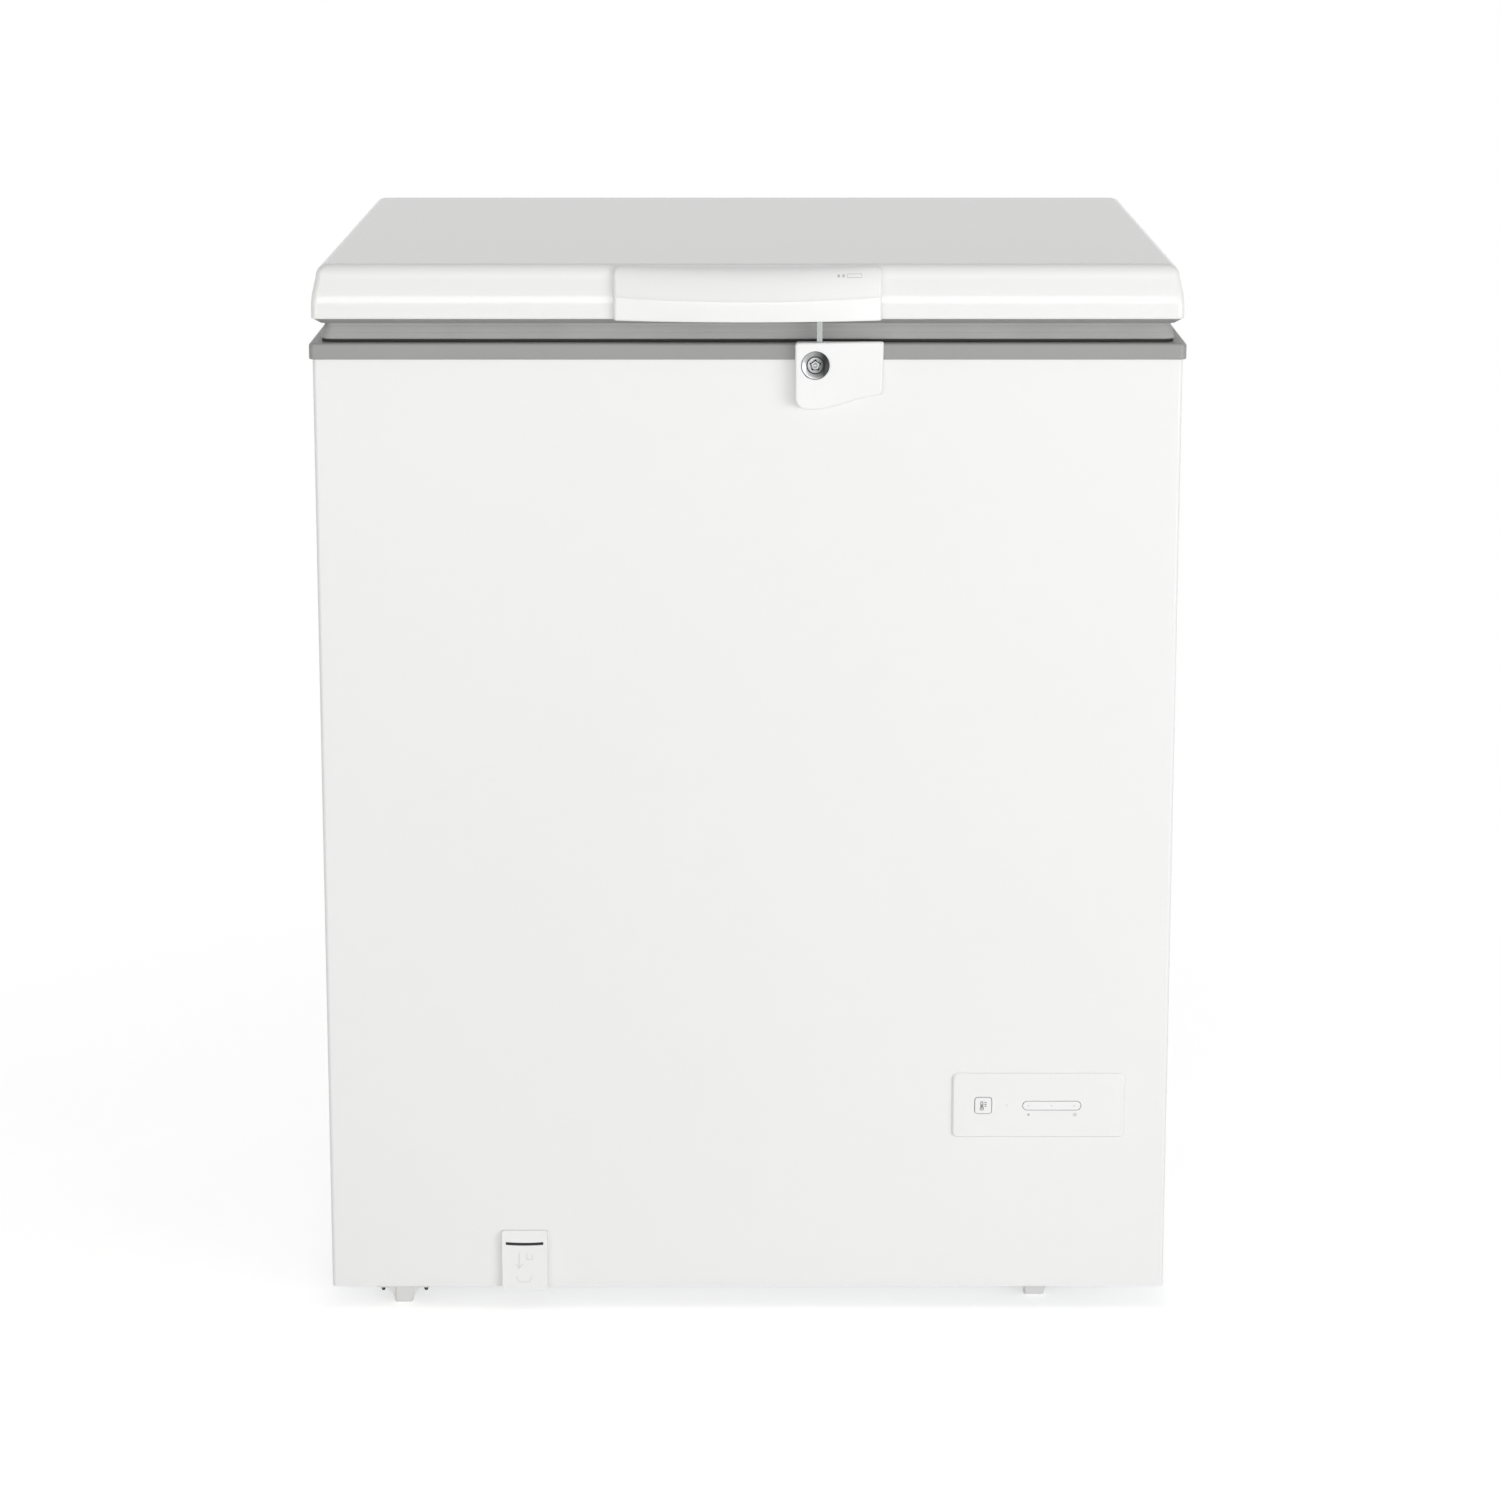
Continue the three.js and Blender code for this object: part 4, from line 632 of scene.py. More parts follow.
def make_finishes():
    plastic = colour("plastic")
    painted("Cabinet enamel", colour("enamel"), 0.4, 0.012, 0.0)
    painted("Lid enamel", colour("lid_enamel"), 0.6, 0.003, 0.62)
    moulded("White plastic", plastic, 0.36, 0.006)
    moulded("Handle plastic", shade(plastic, 0.995), 0.38, 0.005, coat=0.5)
    moulded("Foot plastic", shade(plastic, 0.84), 0.45, 0.01)
    moulded("Panel plastic", plastic, 0.4, 0.002, 1800.0)
    # The raised signs are the white plastic made darker: painted shade of the moulded relief.
    moulded("Raised signs", shade(plastic, 0.86), 0.5, 0.004)
    moulded("Grey plastic", colour("rim"), 0.42, 0.012, 700.0)
    rubber("Gasket rubber", colour("gasket"), 0.01, 0.12)
    # Black rubber of the grommets and cord entry, also used for the black sheets that are painted shade at the
    # slot, the lock and the seal.
    rubber("Black rubber", (0.012, 0.012, 0.0125), 0.02, 0.02)
    galvanised("Zinc sheet", (0.52, 0.53, 0.54), 0.42)
    brushed("Plated steel", (0.33, 0.35, 0.345), 0.3, (8, 8, 0.4))
    brushed("Lock steel", (0.4, 0.41, 0.41), 0.36, (8, 8, 0.4))
    brushed("Dark steel", (0.075, 0.077, 0.08), 0.42, (3, 3, 1))
    spun("Lock chrome", (0.42, 0.425, 0.43), (LOCK[0] * MM, 0, LOCK[1] * MM))
    embossed("Embossed aluminium", (0.88, 0.885, 0.89))
    brushed("Copper tube", (0.64, 0.3, 0.16), 0.32, (2, 2, 2))
    moulded("Black paint", (0.018, 0.018, 0.02), 0.34, 0.01, 300.0)
    moulded("Clear lens", (0.85, 0.855, 0.85), 0.2, 0.0005)
    moulded("Print grey", colour("print_grey"), 0.5, 0.002)
    moulded("Faint print", (0.5, 0.5, 0.5), 0.5, 0.002)
    moulded("Pale print", (0.66, 0.66, 0.655), 0.4, 0.001)
    foam = Finish("Foam", (0.78, 0.68, 0.4), 0.9)
    foam.tint(foam.noise(30.0, 5.0), (0.68, 0.56, 0.3), (0.82, 0.73, 0.46))
    foam.relief(foam.cells(500.0), 0.4)
    board = Finish("Circuit board", (0.02, 0.14, 0.06), 0.4)
    values = {"Vector": board.place(), "Scale": 120.0, "Distortion": 2.0}
    tracks = board.add("ShaderNodeTexWave", values, bands_direction="X")
    board.tint(tracks.outputs[1], (0.015, 0.1, 0.045), (0.03, 0.18, 0.08))
    board.relief(board.noise(600.0, 2.0), 0.02)


class Growth(Nodes):
    """A geometry node tree with named inputs, which repeats one shape."""

    kinds = {float: "Float", int: "Int", tuple: "Vector"}

    def __init__(self, name, inputs):
        super().__init__(bpy.data.node_groups.new(name, "GeometryNodeTree"))
        face = self.tree.interface
        face.new_socket("Geometry", in_out="INPUT", socket_type="NodeSocketGeometry")
        self.ids = {}
        for label, value in inputs.items():
            kind = "NodeSocket" + self.kinds[type(value)]
            socket = face.new_socket(label, in_out="INPUT", socket_type=kind)
            socket.default_value = value
            self.ids[label] = socket.identifier
        look = face.new_socket("Finish", in_out="INPUT", socket_type="NodeSocketMaterial")
        self.ids["Finish"] = look.identifier
        face.new_socket("Geometry", in_out="OUTPUT", socket_type="NodeSocketGeometry")
        self.input = self.add("NodeGroupInput").outputs

    def moved(self, geometry, way, value):
        return self.out("GeometryNodeTransform", {"Geometry": geometry, way: value})

    def row(self):
        """Points in a row, from the inputs Count, First and Step."""
        sockets = {"Count": "Count", "Start Location": "First", "Offset": "Step"}
        values = {socket: self.input[label] for socket, label in sockets.items()}
        return self.out("GeometryNodeMeshLine", values)

    def repeat(self, points, shape, **turn):
        """Puts a shape on each point, makes the copies real and gives them their finish."""
        placed = self.out("GeometryNodeInstanceOnPoints", {"Points": points, "Instance": shape, **turn})
        real = self.out("GeometryNodeRealizeInstances", {"Geometry": placed})
        smooth = self.out("GeometryNodeSetShadeSmooth", {"Geometry": real})
        done = self.out("GeometryNodeSetMaterial", {"Geometry": smooth, "Material": self.input["Finish"]})
        self.add("NodeGroupOutput", {"Geometry": done})
        return self

    def grow(self, name, start, values, body, slot):
        """Runs the tree on a mesh of starting points and keeps what it makes as a plain piece."""
        thing = linked(name, start)
        step = thing.modifiers.new("repeat", "NODES")
        step.node_group = self.tree
        for label, value in values.items():
            step[self.ids[label]] = value
        settled(thing)
        thing.data.validate()
        if not thing.data.polygons:
            raise RuntimeError(name + " came out empty")
        thing.data.set_sharp_from_angle(angle=math.radians(40))
        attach(thing, body)
        return thing


def screw_tree():
    """A domed head with a cross slot over a shank, on each point and facing as the point says."""
    tree = Growth("Screws", {"Head Radius": 0.003, "Head Height": 0.0014, "Shank": 0.002})
    radius, depth = tree.input["Head Radius"], tree.input["Shank"]
    ratio = tree.out("ShaderNodeMath", {0: tree.input["Head Height"], 1: radius}, operation="DIVIDE")
    flat = tree.out("ShaderNodeCombineXYZ", {"X": 1.0, "Y": 1.0, "Z": ratio})
    ball = tree.out("GeometryNodeMeshUVSphere", {"Segments": 24, "Rings": 12, "Radius": radius})
    dome = tree.moved(ball, "Scale", flat)
    lift = tree.out("ShaderNodeCombineXYZ", {"Z": radius})
    bars = []
    for wide in ((1.1, 0.2, 1.0), (0.2, 1.1, 1.0)):
        span = tree.out("ShaderNodeVectorMath", {0: wide, "Scale": radius}, operation="SCALE")
        bars.append(tree.moved(tree.out("GeometryNodeMeshCube", {"Size": span}), "Translation", lift))
    cross = tree.out("GeometryNodeJoinGeometry", {"Geometry": bars})
    head = tree.out("GeometryNodeMeshBoolean", {"Mesh 1": dome, "Mesh 2": cross}, operation="DIFFERENCE")
    thin = tree.out("ShaderNodeMath", {0: radius, 1: 0.5}, operation="MULTIPLY")
    down = tree.out("ShaderNodeMath", {0: depth, 1: -0.5}, operation="MULTIPLY")
    post = tree.out("GeometryNodeMeshCylinder", {"Vertices": 16, "Radius": thin, "Depth": depth})
    shank = tree.moved(post, "Translation", tree.out("ShaderNodeCombineXYZ", {"Z": down}))
    whole = tree.out("GeometryNodeJoinGeometry", {"Geometry": [head, shank]})
    facing = tree.add("GeometryNodeInputNamedAttribute", {"Name": "facing"}, data_type="FLOAT_VECTOR")
    aim = tree.out("FunctionNodeAlignRotationToVector", {"Vector": facing.outputs["Attribute"]}, axis="Z")
    return tree.repeat(tree.input["Geometry"], whole, Rotation=aim)


def slat_tree():
    """Rounded slats in a row, each a flat oval pushed along its length and tilted."""
    place = {"Count": 8, "First": (0, 0, 0), "Step": (0, 0, 0.015)}
    size = {"Half Length": (0, 0.08, 0), "Width": 0.004, "Thickness": 0.001, "Tilt": 0.6}
    tree = Growth("Slats", place | size)
    half = tree.input["Half Length"]
    less = tree.out("ShaderNodeVectorMath", {0: half, "Scale": -1.0}, operation="SCALE")
    line = tree.out("GeometryNodeCurvePrimitiveLine", {"Start": less, "End": half})
    oval = tree.out("GeometryNodeCurvePrimitiveCircle", {"Resolution": 16, "Radius": 0.5})
    wide, thick = tree.input["Width"], tree.input["Thickness"]
    span = tree.out("ShaderNodeCombineXYZ", {"X": wide, "Y": thick, "Z": 1.0})
    turn = tree.out("ShaderNodeCombineXYZ", {"Z": tree.input["Tilt"]})
    profile = tree.moved(tree.moved(oval, "Scale", span), "Rotation", turn)
    slat = tree.out("GeometryNodeCurveToMesh", {"Curve": line, "Profile Curve": profile, "Fill Caps": True})
    return tree.repeat(tree.row(), slat)


def louvre_tree():
    """Pressed hoods in a row: half an oval shell over each slot, open below."""
    place = {"Count": 7, "First": (0, 0, 0), "Step": (0, 0, 0.016)}
    tree = Growth("Louvres", place | {"Size": (0.08, 0.004, 0.01)})
    size = tree.input["Size"]
    ball = tree.out("GeometryNodeMeshUVSphere", {"Segments": 48, "Rings": 24, "Radius": 1.0})
    outer = tree.moved(ball, "Scale", size)
    smaller = tree.out("ShaderNodeVectorMath", {0: size, 1: (STEEL * MM,) * 3}, operation="SUBTRACT")
    cuts = [tree.moved(ball, "Scale", smaller)]
    cutter = tree.out("GeometryNodeMeshCube", {"Size": (1.0, 1.0, 1.0)})
    for way in ((0.0, 0.0, -0.5), (0.0, -0.5, 0.0)):
        cuts.append(tree.moved(cutter, "Translation", way))
    hood = tree.out("GeometryNodeMeshBoolean", {"Mesh 1": outer, "Mesh 2": cuts}, operation="DIFFERENCE")
    return tree.repeat(tree.row(), hood)


def spots_mesh(spots):
    """A mesh of bare points, each with the way that it faces. Spots are (x, y, z, facing)."""
    mesh = bpy.data.meshes.new("spots")
    mesh.from_pydata([(x * MM, FRONT + y * MM, z * MM) for x, y, z, _ in spots], [], [])
    facing = mesh.attributes.new("facing", "FLOAT_VECTOR", "POINT")
    facing.data.foreach_set("vector", [c for spot in spots for c in spot[3]])
    return mesh


def row_values(x, y, z, rise):
    return {"First": (x * MM, FRONT + y * MM, z * MM), "Step": (0, 0, rise * MM)}


# Cabinet


def body_loop(inset, radius, height):
    return flat_loop("z", CABINET.outline("z", inset, radius), height)


def front_bend(inset):
    """The skin's front and sides seen from above, moved inwards."""
    steps, beyond_back = corner_steps(), 900
    ends = BODY.left + inset, BODY.right - inset
    outline = rounded(*ends, inset, beyond_back, sizes("shell_radius") - inset, steps)
    bend = outline[3 * (steps + 1) :] + outline[: steps + 1]
    return [(ends[0], BODY.back), *bend, (ends[1], BODY.back)]


def make_shell():
    wall = prism("z", front_bend(0) + front_bend(STEEL)[::-1], BODY.bottom, BODY.top)
    vent = (
        GRILLE.front + GRILLE_BORDER,
        GRILLE.back - GRILLE_BORDER,
        GRILLE.bottom + GRILLE_BORDER,
        GRILLE.top - GRILLE_BORDER,
    )
    return carved(
        wall,
        PANEL.slab(PANEL_BOSS - WALL_GAP, *THROUGH_FRONT),
        prism("y", circle(*DRAIN, DRAIN_BORE, 32), *THROUGH_FRONT),
        prism("y", circle(*LOCK, 3.6, 24), *THROUGH_FRONT),
        block(BODY.right - OVERRUN, BODY.right + OVERRUN, *vent),
    )


def make_rim():
    edge, low_edge = sizes("rim_edge"), 1.1
    reach, inner_edge = BODY.left - RIM.left, RIM.top - 4
    loops = []
    for radius, level_at, turns in (
        (low_edge, RIM.bottom + low_edge, arc(-90, 0, 3)),
        (edge, RIM.top - edge, arc(0, 90)),
    ):
        for across, up in turns:
            drawn = radius * (1 - across)
            loops.append(body_loop(drawn - reach, 6 - drawn, level_at + radius * up))
    mouth = Box(-312.5, 312.5, 65.0, 544.8, 0, 0)
    inside = [(edge * (1 - across), RIM.top - edge * (1 - up)) for across, up in reversed(arc(0, 90))]
    inside += [(0, RIM.bottom), (2.5, RIM.bottom), (2.5, inner_edge)]
    loops += [flat_loop("z", mouth.outline("z", -grow, 22.1 + grow), height) for grow, height in inside]
    loops += [body_loop(-WALL_GAP, 4.3, height) for height in (inner_edge, RIM.bottom)]
    return loft(loops, ring=True)


def tub_space(inset, top):
    """The tub's hollow, moved inwards: wide over the step and narrow beside it."""
    cavity = Box(LINER.left + 25, LINER.right - 25, LINER.front + 25, LINER.back - 25, 83.1, 0)
    deep = cavity._replace(right=105.7)
    upper = prism("z", cavity.outline("z", inset, 26 - inset), 295 + inset, top)
    return fused(upper, prism("z", deep.outline("z", inset, 26 - inset), cavity.bottom + inset, top - 20))


def make_liner():
    """The tub, with round edges at its floor and step, under a flat flange."""
    hollow = linked("tub", tub_space(1.1, LINER.top + 30))
    space = bevelled(hollow, sizes("liner_floor_radius"), 5, 60).data
    bpy.data.objects.remove(hollow)
    flange = prism("z", LINER.outline("z", 0, 51), LINER.top - STEEL, LINER.top)
    drain = prism("z", circle(DRAIN[0], PLUG_DEPTH, DRAIN_BORE, 32), 70, 95)
    return carved(fused(tub_space(0.3, LINER.top), flange), space, drain)


class FREEZER_OT_cabinet(bpy.types.Operator):
    """Painted skins, grey frame and metal tub of the cabinet"""

    bl_idname = "freezer.cabinet"
    bl_label = "Cabinet"

    def execute(self, context):
        body, shell, look = "cabinet", make_shell(), "Cabinet enamel"
        add_piece("painted_shell", shell, look, body, "white_steel", "cabinet_shell", bevel=0.35, angle=60)
        add_piece("grey_rim", make_rim(), "Grey plastic", body, "grey_plastic", "rim_frame")
        add_piece("metal_tub", make_liner(), "Embossed aluminium", body, "liner_metal", "inner_liner")
        return {"FINISHED"}


class FREEZER_OT_carried(bpy.types.Operator):
    """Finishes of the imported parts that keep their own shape"""

    bl_idname = "freezer.carried"
    bl_label = "Packed parts"

    finishes = {
        "Cabinet enamel": ["back_panel"],
        "Zinc sheet": ["bottom_pan", "compressor_tray", "bay_bulkhead", "lock_strike"],
        "Foam": ["foam_insulation", "lid_foam"],
        "Copper tube": [
            "evaporator_coil",
            "condenser_coil",
            "filter_drier",
            "suction_pipe",
            "discharge_pipe",
        ],
        "Circuit board": ["control_board"],
        "White plastic": ["drain_tube"],
        "Black paint": ["terminal_cover"],
        "Black rubber": ["compressor_grommet_" + letter for letter in "abcd"],
    }

    def execute(self, context):
        for look, nodes in self.finishes.items():
            for node in nodes:
                materials = frame["nodes"][node].data.materials
                materials.clear()
                materials.append(Finish.made[look])
        return {"FINISHED"}


# Lid


def lid_side(thickness=0.0):
    """Pairs of (height, inset) up the lid's side, from its lower edge to the flat top."""
    top, top_inset = 47, 14
    shoulder, shoulder_inset = 36, 4.2
    edge = [(2 - 2 * up, 1.5 * (1 - across)) for across, up in reversed(arc(0, 90, 4))]
    bend = [(9 + rise, 0.00686 * rise**2) for rise in range(2, 15, 2)]
    face = bend + curve_through([bend[-2], bend[-1], (29, 2.65), (shoulder, shoulder_inset)], 3)[4:]
    high, deep = top - thickness - shoulder, top_inset - shoulder_inset - thickness
    crown = [(shoulder + high * up, top_inset - deep * across) for across, up in arc(0, 90, 9)[1:]]
    return [(height, inset + thickness) for height, inset in [*edge, (9, 0), *face]] + crown


def lid_loop(inset, height, radius=None):
    outline = LID.outline("z", inset, radius or sizes("lid_corner"))
    return flat_loop("z", outline, LID.bottom + height)


def make_lid_shell():
    outer = [lid_loop(inset, height) for height, inset in lid_side()]
    inner = [lid_loop(inset, height) for height, inset in lid_side(1.2)[5:]]
    return cup(outer, [lid_loop(2.7, 0), *inner])


def plug_loop(grow, height):
    return lid_loop(45 - grow, height, 24 + grow)


def make_inner_panel():
    """The lid's inside: a plate round a shallow plug with a recessed field."""
    edge, low = 4.0, -16
    outer = [lid_loop(4.2, 1.5, 8), lid_loop(4.2, 0, 8), plug_loop(0, 0)]
    outer += [plug_loop(-edge * (1 - across), low + edge * (1 + up)) for across, up in arc(0, -90, 4)]
    field = ((14, 0), (15, 0.2), (16.6, 0.7), (18, 0.8), (26, 0.8), (28, 0.7), (29.5, 0.2), (30.5, 0))
    outer += [lid_loop(45 + inset, low + rise, max(24 - inset * 0.3, 12)) for inset, rise in field]
    inner = [lid_loop(46.5, 1.5, 22.5), lid_loop(46.5, -11.5, 22.5), lid_loop(49.5, -14.5, 19.5)]
    return cup(outer, inner)


def make_flange():
    low = box_of("lid_flange").bottom - LID.bottom
    places = ((6.6, low), (6, low + 0.5), (2.2, -0.9), (2, -WALL_GAP))
    loops = [lid_loop(inset, height, 8) for inset, height in places]
    loops += [plug_loop(WALL_GAP, -WALL_GAP), plug_loop(WALL_GAP, low)]
    return loft(loops, ring=True)


def make_gasket():
    seal = box_of("lid_gasket")
    inset, edge, radius, low = 6.5, 1.6, 9.0, seal.bottom + 2.0
    places = [(inset + edge * (1 - across), low + edge * (1 + up)) for across, up in arc(-90, 0)]
    for share in (0.3, 0.34, 0.38, 0.42, 0.75, 0.8, 0.85, 1.0):
        groove = 0.35 if share in (0.34, 0.38, 0.8) else 0.0
        places.append((inset + 3.5 * share + groove, low + edge + (seal.top - low - edge) * share))
    places += [(23, seal.top), (22, low + 1.5), (20.5, low)]
    return loft([body_loop(inward, radius, height) for inward, height in places], ring=True)


def make_seal_shade_strip():
    """A black strip on the grey frame under the seal: painted shade in the gap between the seal and the frame.
    """
    low = box_of("lid_gasket").bottom
    places = ((7.6, 0), (7.2, 0.4), (7.2, 1.9), (20, 1.9), (20, 0))
    return loft([body_loop(inward, 8, low + rise) for inward, rise in places], ring=True)


# The handle runs up to just under the lid's top
HANDLE_TOP = LID.top - 1.0
HANDLE_HALF = 116


def bow(x):
    """One in the handle's middle, falling to nought at its ends."""
    return 1 - (x / HANDLE_HALF) ** 2


def handle_front(x):
    return -8.5 - 13 * bow(x)


def handle_step(x):
    """The height of the handle's lip."""
    return HANDLE.bottom + 19.5 + 1.4 * (1 - 2 * bow(x))


def handle_end(radius, x):
    """How far a round end of the handle with that radius falls back at x."""
    short = max(radius - HANDLE_HALF + abs(x), 0)
    return radius - math.sqrt(max(radius**2 - short**2, 0))


def lid_front(height):
    """How far the lid's front face lies behind the cabinet's at a height over the lid's lower edge."""
    side = lid_side()
    for (low, near), (high, far) in zip(side, side[1:]):
        if low <= height <= high and high > low:
            return LID.front + near + (far - near) * (height - low) / (high - low)
    return LID.front


def bulge(share):
    """How far back the handle's face lies at a share of its height, as a share of its whole slope."""
    return 0.3 * share + 0.7 * (1 - (1 - share**3.6) ** (1 / 3.6))


def face_ends(x, inset=0.0, drop=0.0):
    """The lower and the upper end of the handle's face in one slice, as (y, z)."""
    top = HANDLE_TOP - drop
    lower = Vector((handle_front(x) + inset + 0.85, handle_step(x) + 0.2))
    return lower, Vector((lid_front(top - LID.bottom) - WALL_GAP, top))


def handle_section(x):
    """One slice of the handle as (y, z), from the back of its lower edge round the front to the lid."""
    inset, drop = handle_end(sizes("handle_end"), x), handle_end(sizes("handle_top_corner"), x)
    front, step = handle_front(x) + inset, handle_step(x)
    lower, upper = face_ends(x, inset, drop * 0.8)
    lip, bottom = 1.6, HANDLE.bottom + inset * 0.4
    points = [(LID.front - WALL_GAP, bottom)]
    points += [(front + lip * (1 - across), bottom + lip * (1 + up)) for across, up in arc(-90, 0, 4)]
    ledge = ((0, 3.4), (0.2, 1.0), (0.33, 0.45), (0.5, 0.1))
    points += [(front + back, step - below) for back, below in ledge]
    slope = upper - lower
    for share in (0, 0.12, 0.25, 0.38, 0.5, 0.6, 0.7, 0.78, 0.85, 0.91, 0.96, 0.99, 1):
        points.append((lower.x + slope.x * bulge(share), lower.y + slope.y * share))
    for share in (0.96, 0.92, 0.87, 0.8, 0.7, 0.5, 0.3, 0.1, 0):
        height = (upper.y - LID.bottom) * share
        points.append((lid_front(height) - WALL_GAP, LID.bottom + height))
    return points


def handle_stations():
    """Places along the handle, closer together at its ends."""
    end = max(sizes("handle_end"), sizes("handle_top_corner"))
    middle = [(HANDLE_HALF - end) * (i / 16 - 1) for i in range(33)]
    rounding = [end * (1 - math.cos(math.pi / 2 * i / 7)) for i in range(7)]
    return [r - HANDLE_HALF for r in rounding] + middle + [HANDLE_HALF - r for r in reversed(rounding)]


def pocket(left, right, back):
    """The hollow under the handle between two places, with its front wall following the bow."""
    stations = [left + (right - left) * i / 16 for i in range(17)]
    outline = [(x, handle_front(x) + 2.5) for x in stations] + [(right, back), (left, back)]
    return prism("z", outline, HANDLE.bottom - OVERRUN, HANDLE.bottom + 14.5)


def make_handle():
    loops = [[(x, y, z) for y, z in handle_section(x)] for x in handle_stations()]
    back = LID.front - WALL_GAP
    return carved(loft(loops), pocket(-85, 40, back - 2), pocket(48, 96, back))


def handle_face(x, z):
    """The handle's upper face as y at (x, z)."""
    lower, upper = face_ends(x)
    share = (z - lower.y) / (upper.y - lower.y)
    return lower.x + (upper.x - lower.x) * bulge(min(max(share, 0), 1))


def make_handle_marks():
    """Two dots and a thin outlined bar, printed near the handle's right end."""
    middle, ink = 939.4, 0.05
    form = Form()
    for x in (78.4, 82.6):
        form.add(stroke([(x - 1.1, middle), (x + 1.1, middle)], 2.4, ink, handle_face))
    bar = [(86.0, middle - 1.5), (98.4, middle - 1.5), (98.4, middle + 1.5), (86.0, middle + 1.5)]
    return form.add(stroke(bar, 0.45, ink, handle_face, closed=True))


class FREEZER_OT_lid(bpy.types.Operator):
    """Lid with its flange, seal and inside"""

    bl_idname = "freezer.lid"
    bl_label = "Lid"

    def execute(self, context):
        inside = make_inner_panel()
        add_piece("lid_cover", make_lid_shell(), "Lid enamel", "lid", "lid_white", "lid_shell", smooth=50)
        add_piece("lid_lower_frame", make_flange(), "Grey plastic", "lid", "grey_plastic", "lid_flange")
        add_piece("lid_seal", make_gasket(), "Gasket rubber", "lid", "gasket_rubber", "lid_gasket")
        # The black strip under the seal is painted shade.
        add_piece("lid_seal_foot", make_seal_shade_strip(), "Black rubber", "lid", "gasket_rubber")
        add_piece("lid_inside", inside, "White plastic", "lid", "white_plastic", "lid_inner_panel")
        return {"FINISHED"}


class FREEZER_OT_handle(bpy.types.Operator):
    """Bowed handle on the lid's front, and its printed mark"""

    bl_idname = "freezer.handle"
    bl_label = "Handle"

    def execute(self, context):
        handle, look = make_handle(), "Handle plastic"
        add_piece("handle_moulding", handle, look, "lid", "white_plastic", "lid_handle", smooth=42)
        add_piece("handle_mark", make_handle_marks(), "Faint print", "lid", "grey_plastic")
        return {"FINISHED"}


# Lock

# Corners of the lock housing seen from the front, as (share across, share up, radius)
LOCK_CORNERS = [(0, 0, 10), (0.32, 0, 40), (0.72, 0.145, 30), (0.985, 0.21, 3.5), (1, 1, 2.2), (0, 1, 3)]


def housing_face(x):
    """The lock housing's slanting front as y at x."""
    return -14 + 9 * (x - HOUSING.left) / (HOUSING.right - HOUSING.left)


def make_housing():
    width, height = HOUSING.right - HOUSING.left, HOUSING.top - HOUSING.bottom
    corners = [(HOUSING.left + a * width, HOUSING.bottom + b * height, r) for a, b, r in LOCK_CORNERS]
    edge, wall, over = sizes("housing_edge"), 2, HOUSING.top + OVERRUN
    loops = [flat_loop("y", filleted(corners), -WALL_GAP)]
    for across, up in arc(0, 90):
        inset = filleted(corners, edge * (1 - across))
        loops.append([(x, housing_face(x) + edge * (1 - up), z) for x, z in inset])
    inner = filleted(corners, wall)
    return carved(
        loft(loops),
        loft([flat_loop("y", inner, wall), [(x, housing_face(x) + wall, z) for x, z in inner]]),
        block(HOUSING.left - OVERRUN, HOUSING.right + OVERRUN, -3.3, 2, 865.7, over),
        block(58.8, 71.1, -9.6, -4.9, HOUSING.top - 7, over),
        prism("y", circle(*LOCK, 12.4, 72), -20, 2),
    )


def five_sided(radius, front, back):
    return prism("y", circle(*LOCK, radius, 5, 0.25), front, back)


def make_bezel():
    """The chrome ring: a round lip, a dish, and a flat with the key's five-sided hole."""
    front, radius, dish = BEZEL.front, (BEZEL.right - BEZEL.left) / 2, 7.1
    lip = ((0, 4), (0, 0.5), (0.15, 0.15), (0.5, 0), (0.9, 0.05))
    outside = [(0, 4), *((radius - inward, depth) for inward, depth in lip)]
    turns = [math.pi / 2 * i / 8 for i in range(1, 9)]
    wide, deep = radius - dish - 1, 2.6
    hollow = [(dish + wide * (1 - math.sin(t)), 0.15 + deep * (1 - math.cos(t)) ** 0.8) for t in turns]
    inside = [(6.95, 1.7), (6.7, 1.35), (6.3, 1.3), (0, 1.3)]
    profile = [(reach, front + depth) for reach, depth in outside + hollow + inside]
    return carved(turned("y", profile, LOCK, 96), five_sided(5.35, front - 5, front + 6))


def washer(inner, outer, front, back):
    return turned("y", [(inner, front), (outer, front), (outer, back), (inner, back)], LOCK, 64, ring=True)


def make_lock_shade_rings():
    """A black disc behind the ring, round the post, and a black ring in the ring's groove: painted shade in
    the keyhole's gap and in the groove.
    """
    return washer(4.3, 7, -8.15, -7.85).add(washer(6.65, 7.65, BEZEL.front + 1.6, BEZEL.front + 2.3))


def make_barrel():
    tail = turned("y", [(3, -7.0), (3, 0.8)], LOCK, 24)
    dimple = turned("y", [(1.95, -14), (1.85, -10.9), (1.5, -9.9), (0.6, -9.6)], LOCK, 32)
    return carved(fused(five_sided(3.9, -10.9, -5.6), tail), dimple)


def make_hook():
    """The hook's arm, which reaches up behind the handle from a hub round the post."""
    x, z, front, back = *LOCK, -7.6, -5.6
    left, right, nose, low, high = x + 1.3, x + 6.1, x + 15.5, z + 48, z + 51
    arm = [(left, z), (right, z), (right, low), (nose, low), (nose, high), (left, high)]
    hub = prism("y", circle(*LOCK, 9, 48), front, back)
    return carved(fused(prism("y", arm, front, back), hub), five_sided(4.45, -12, -2))


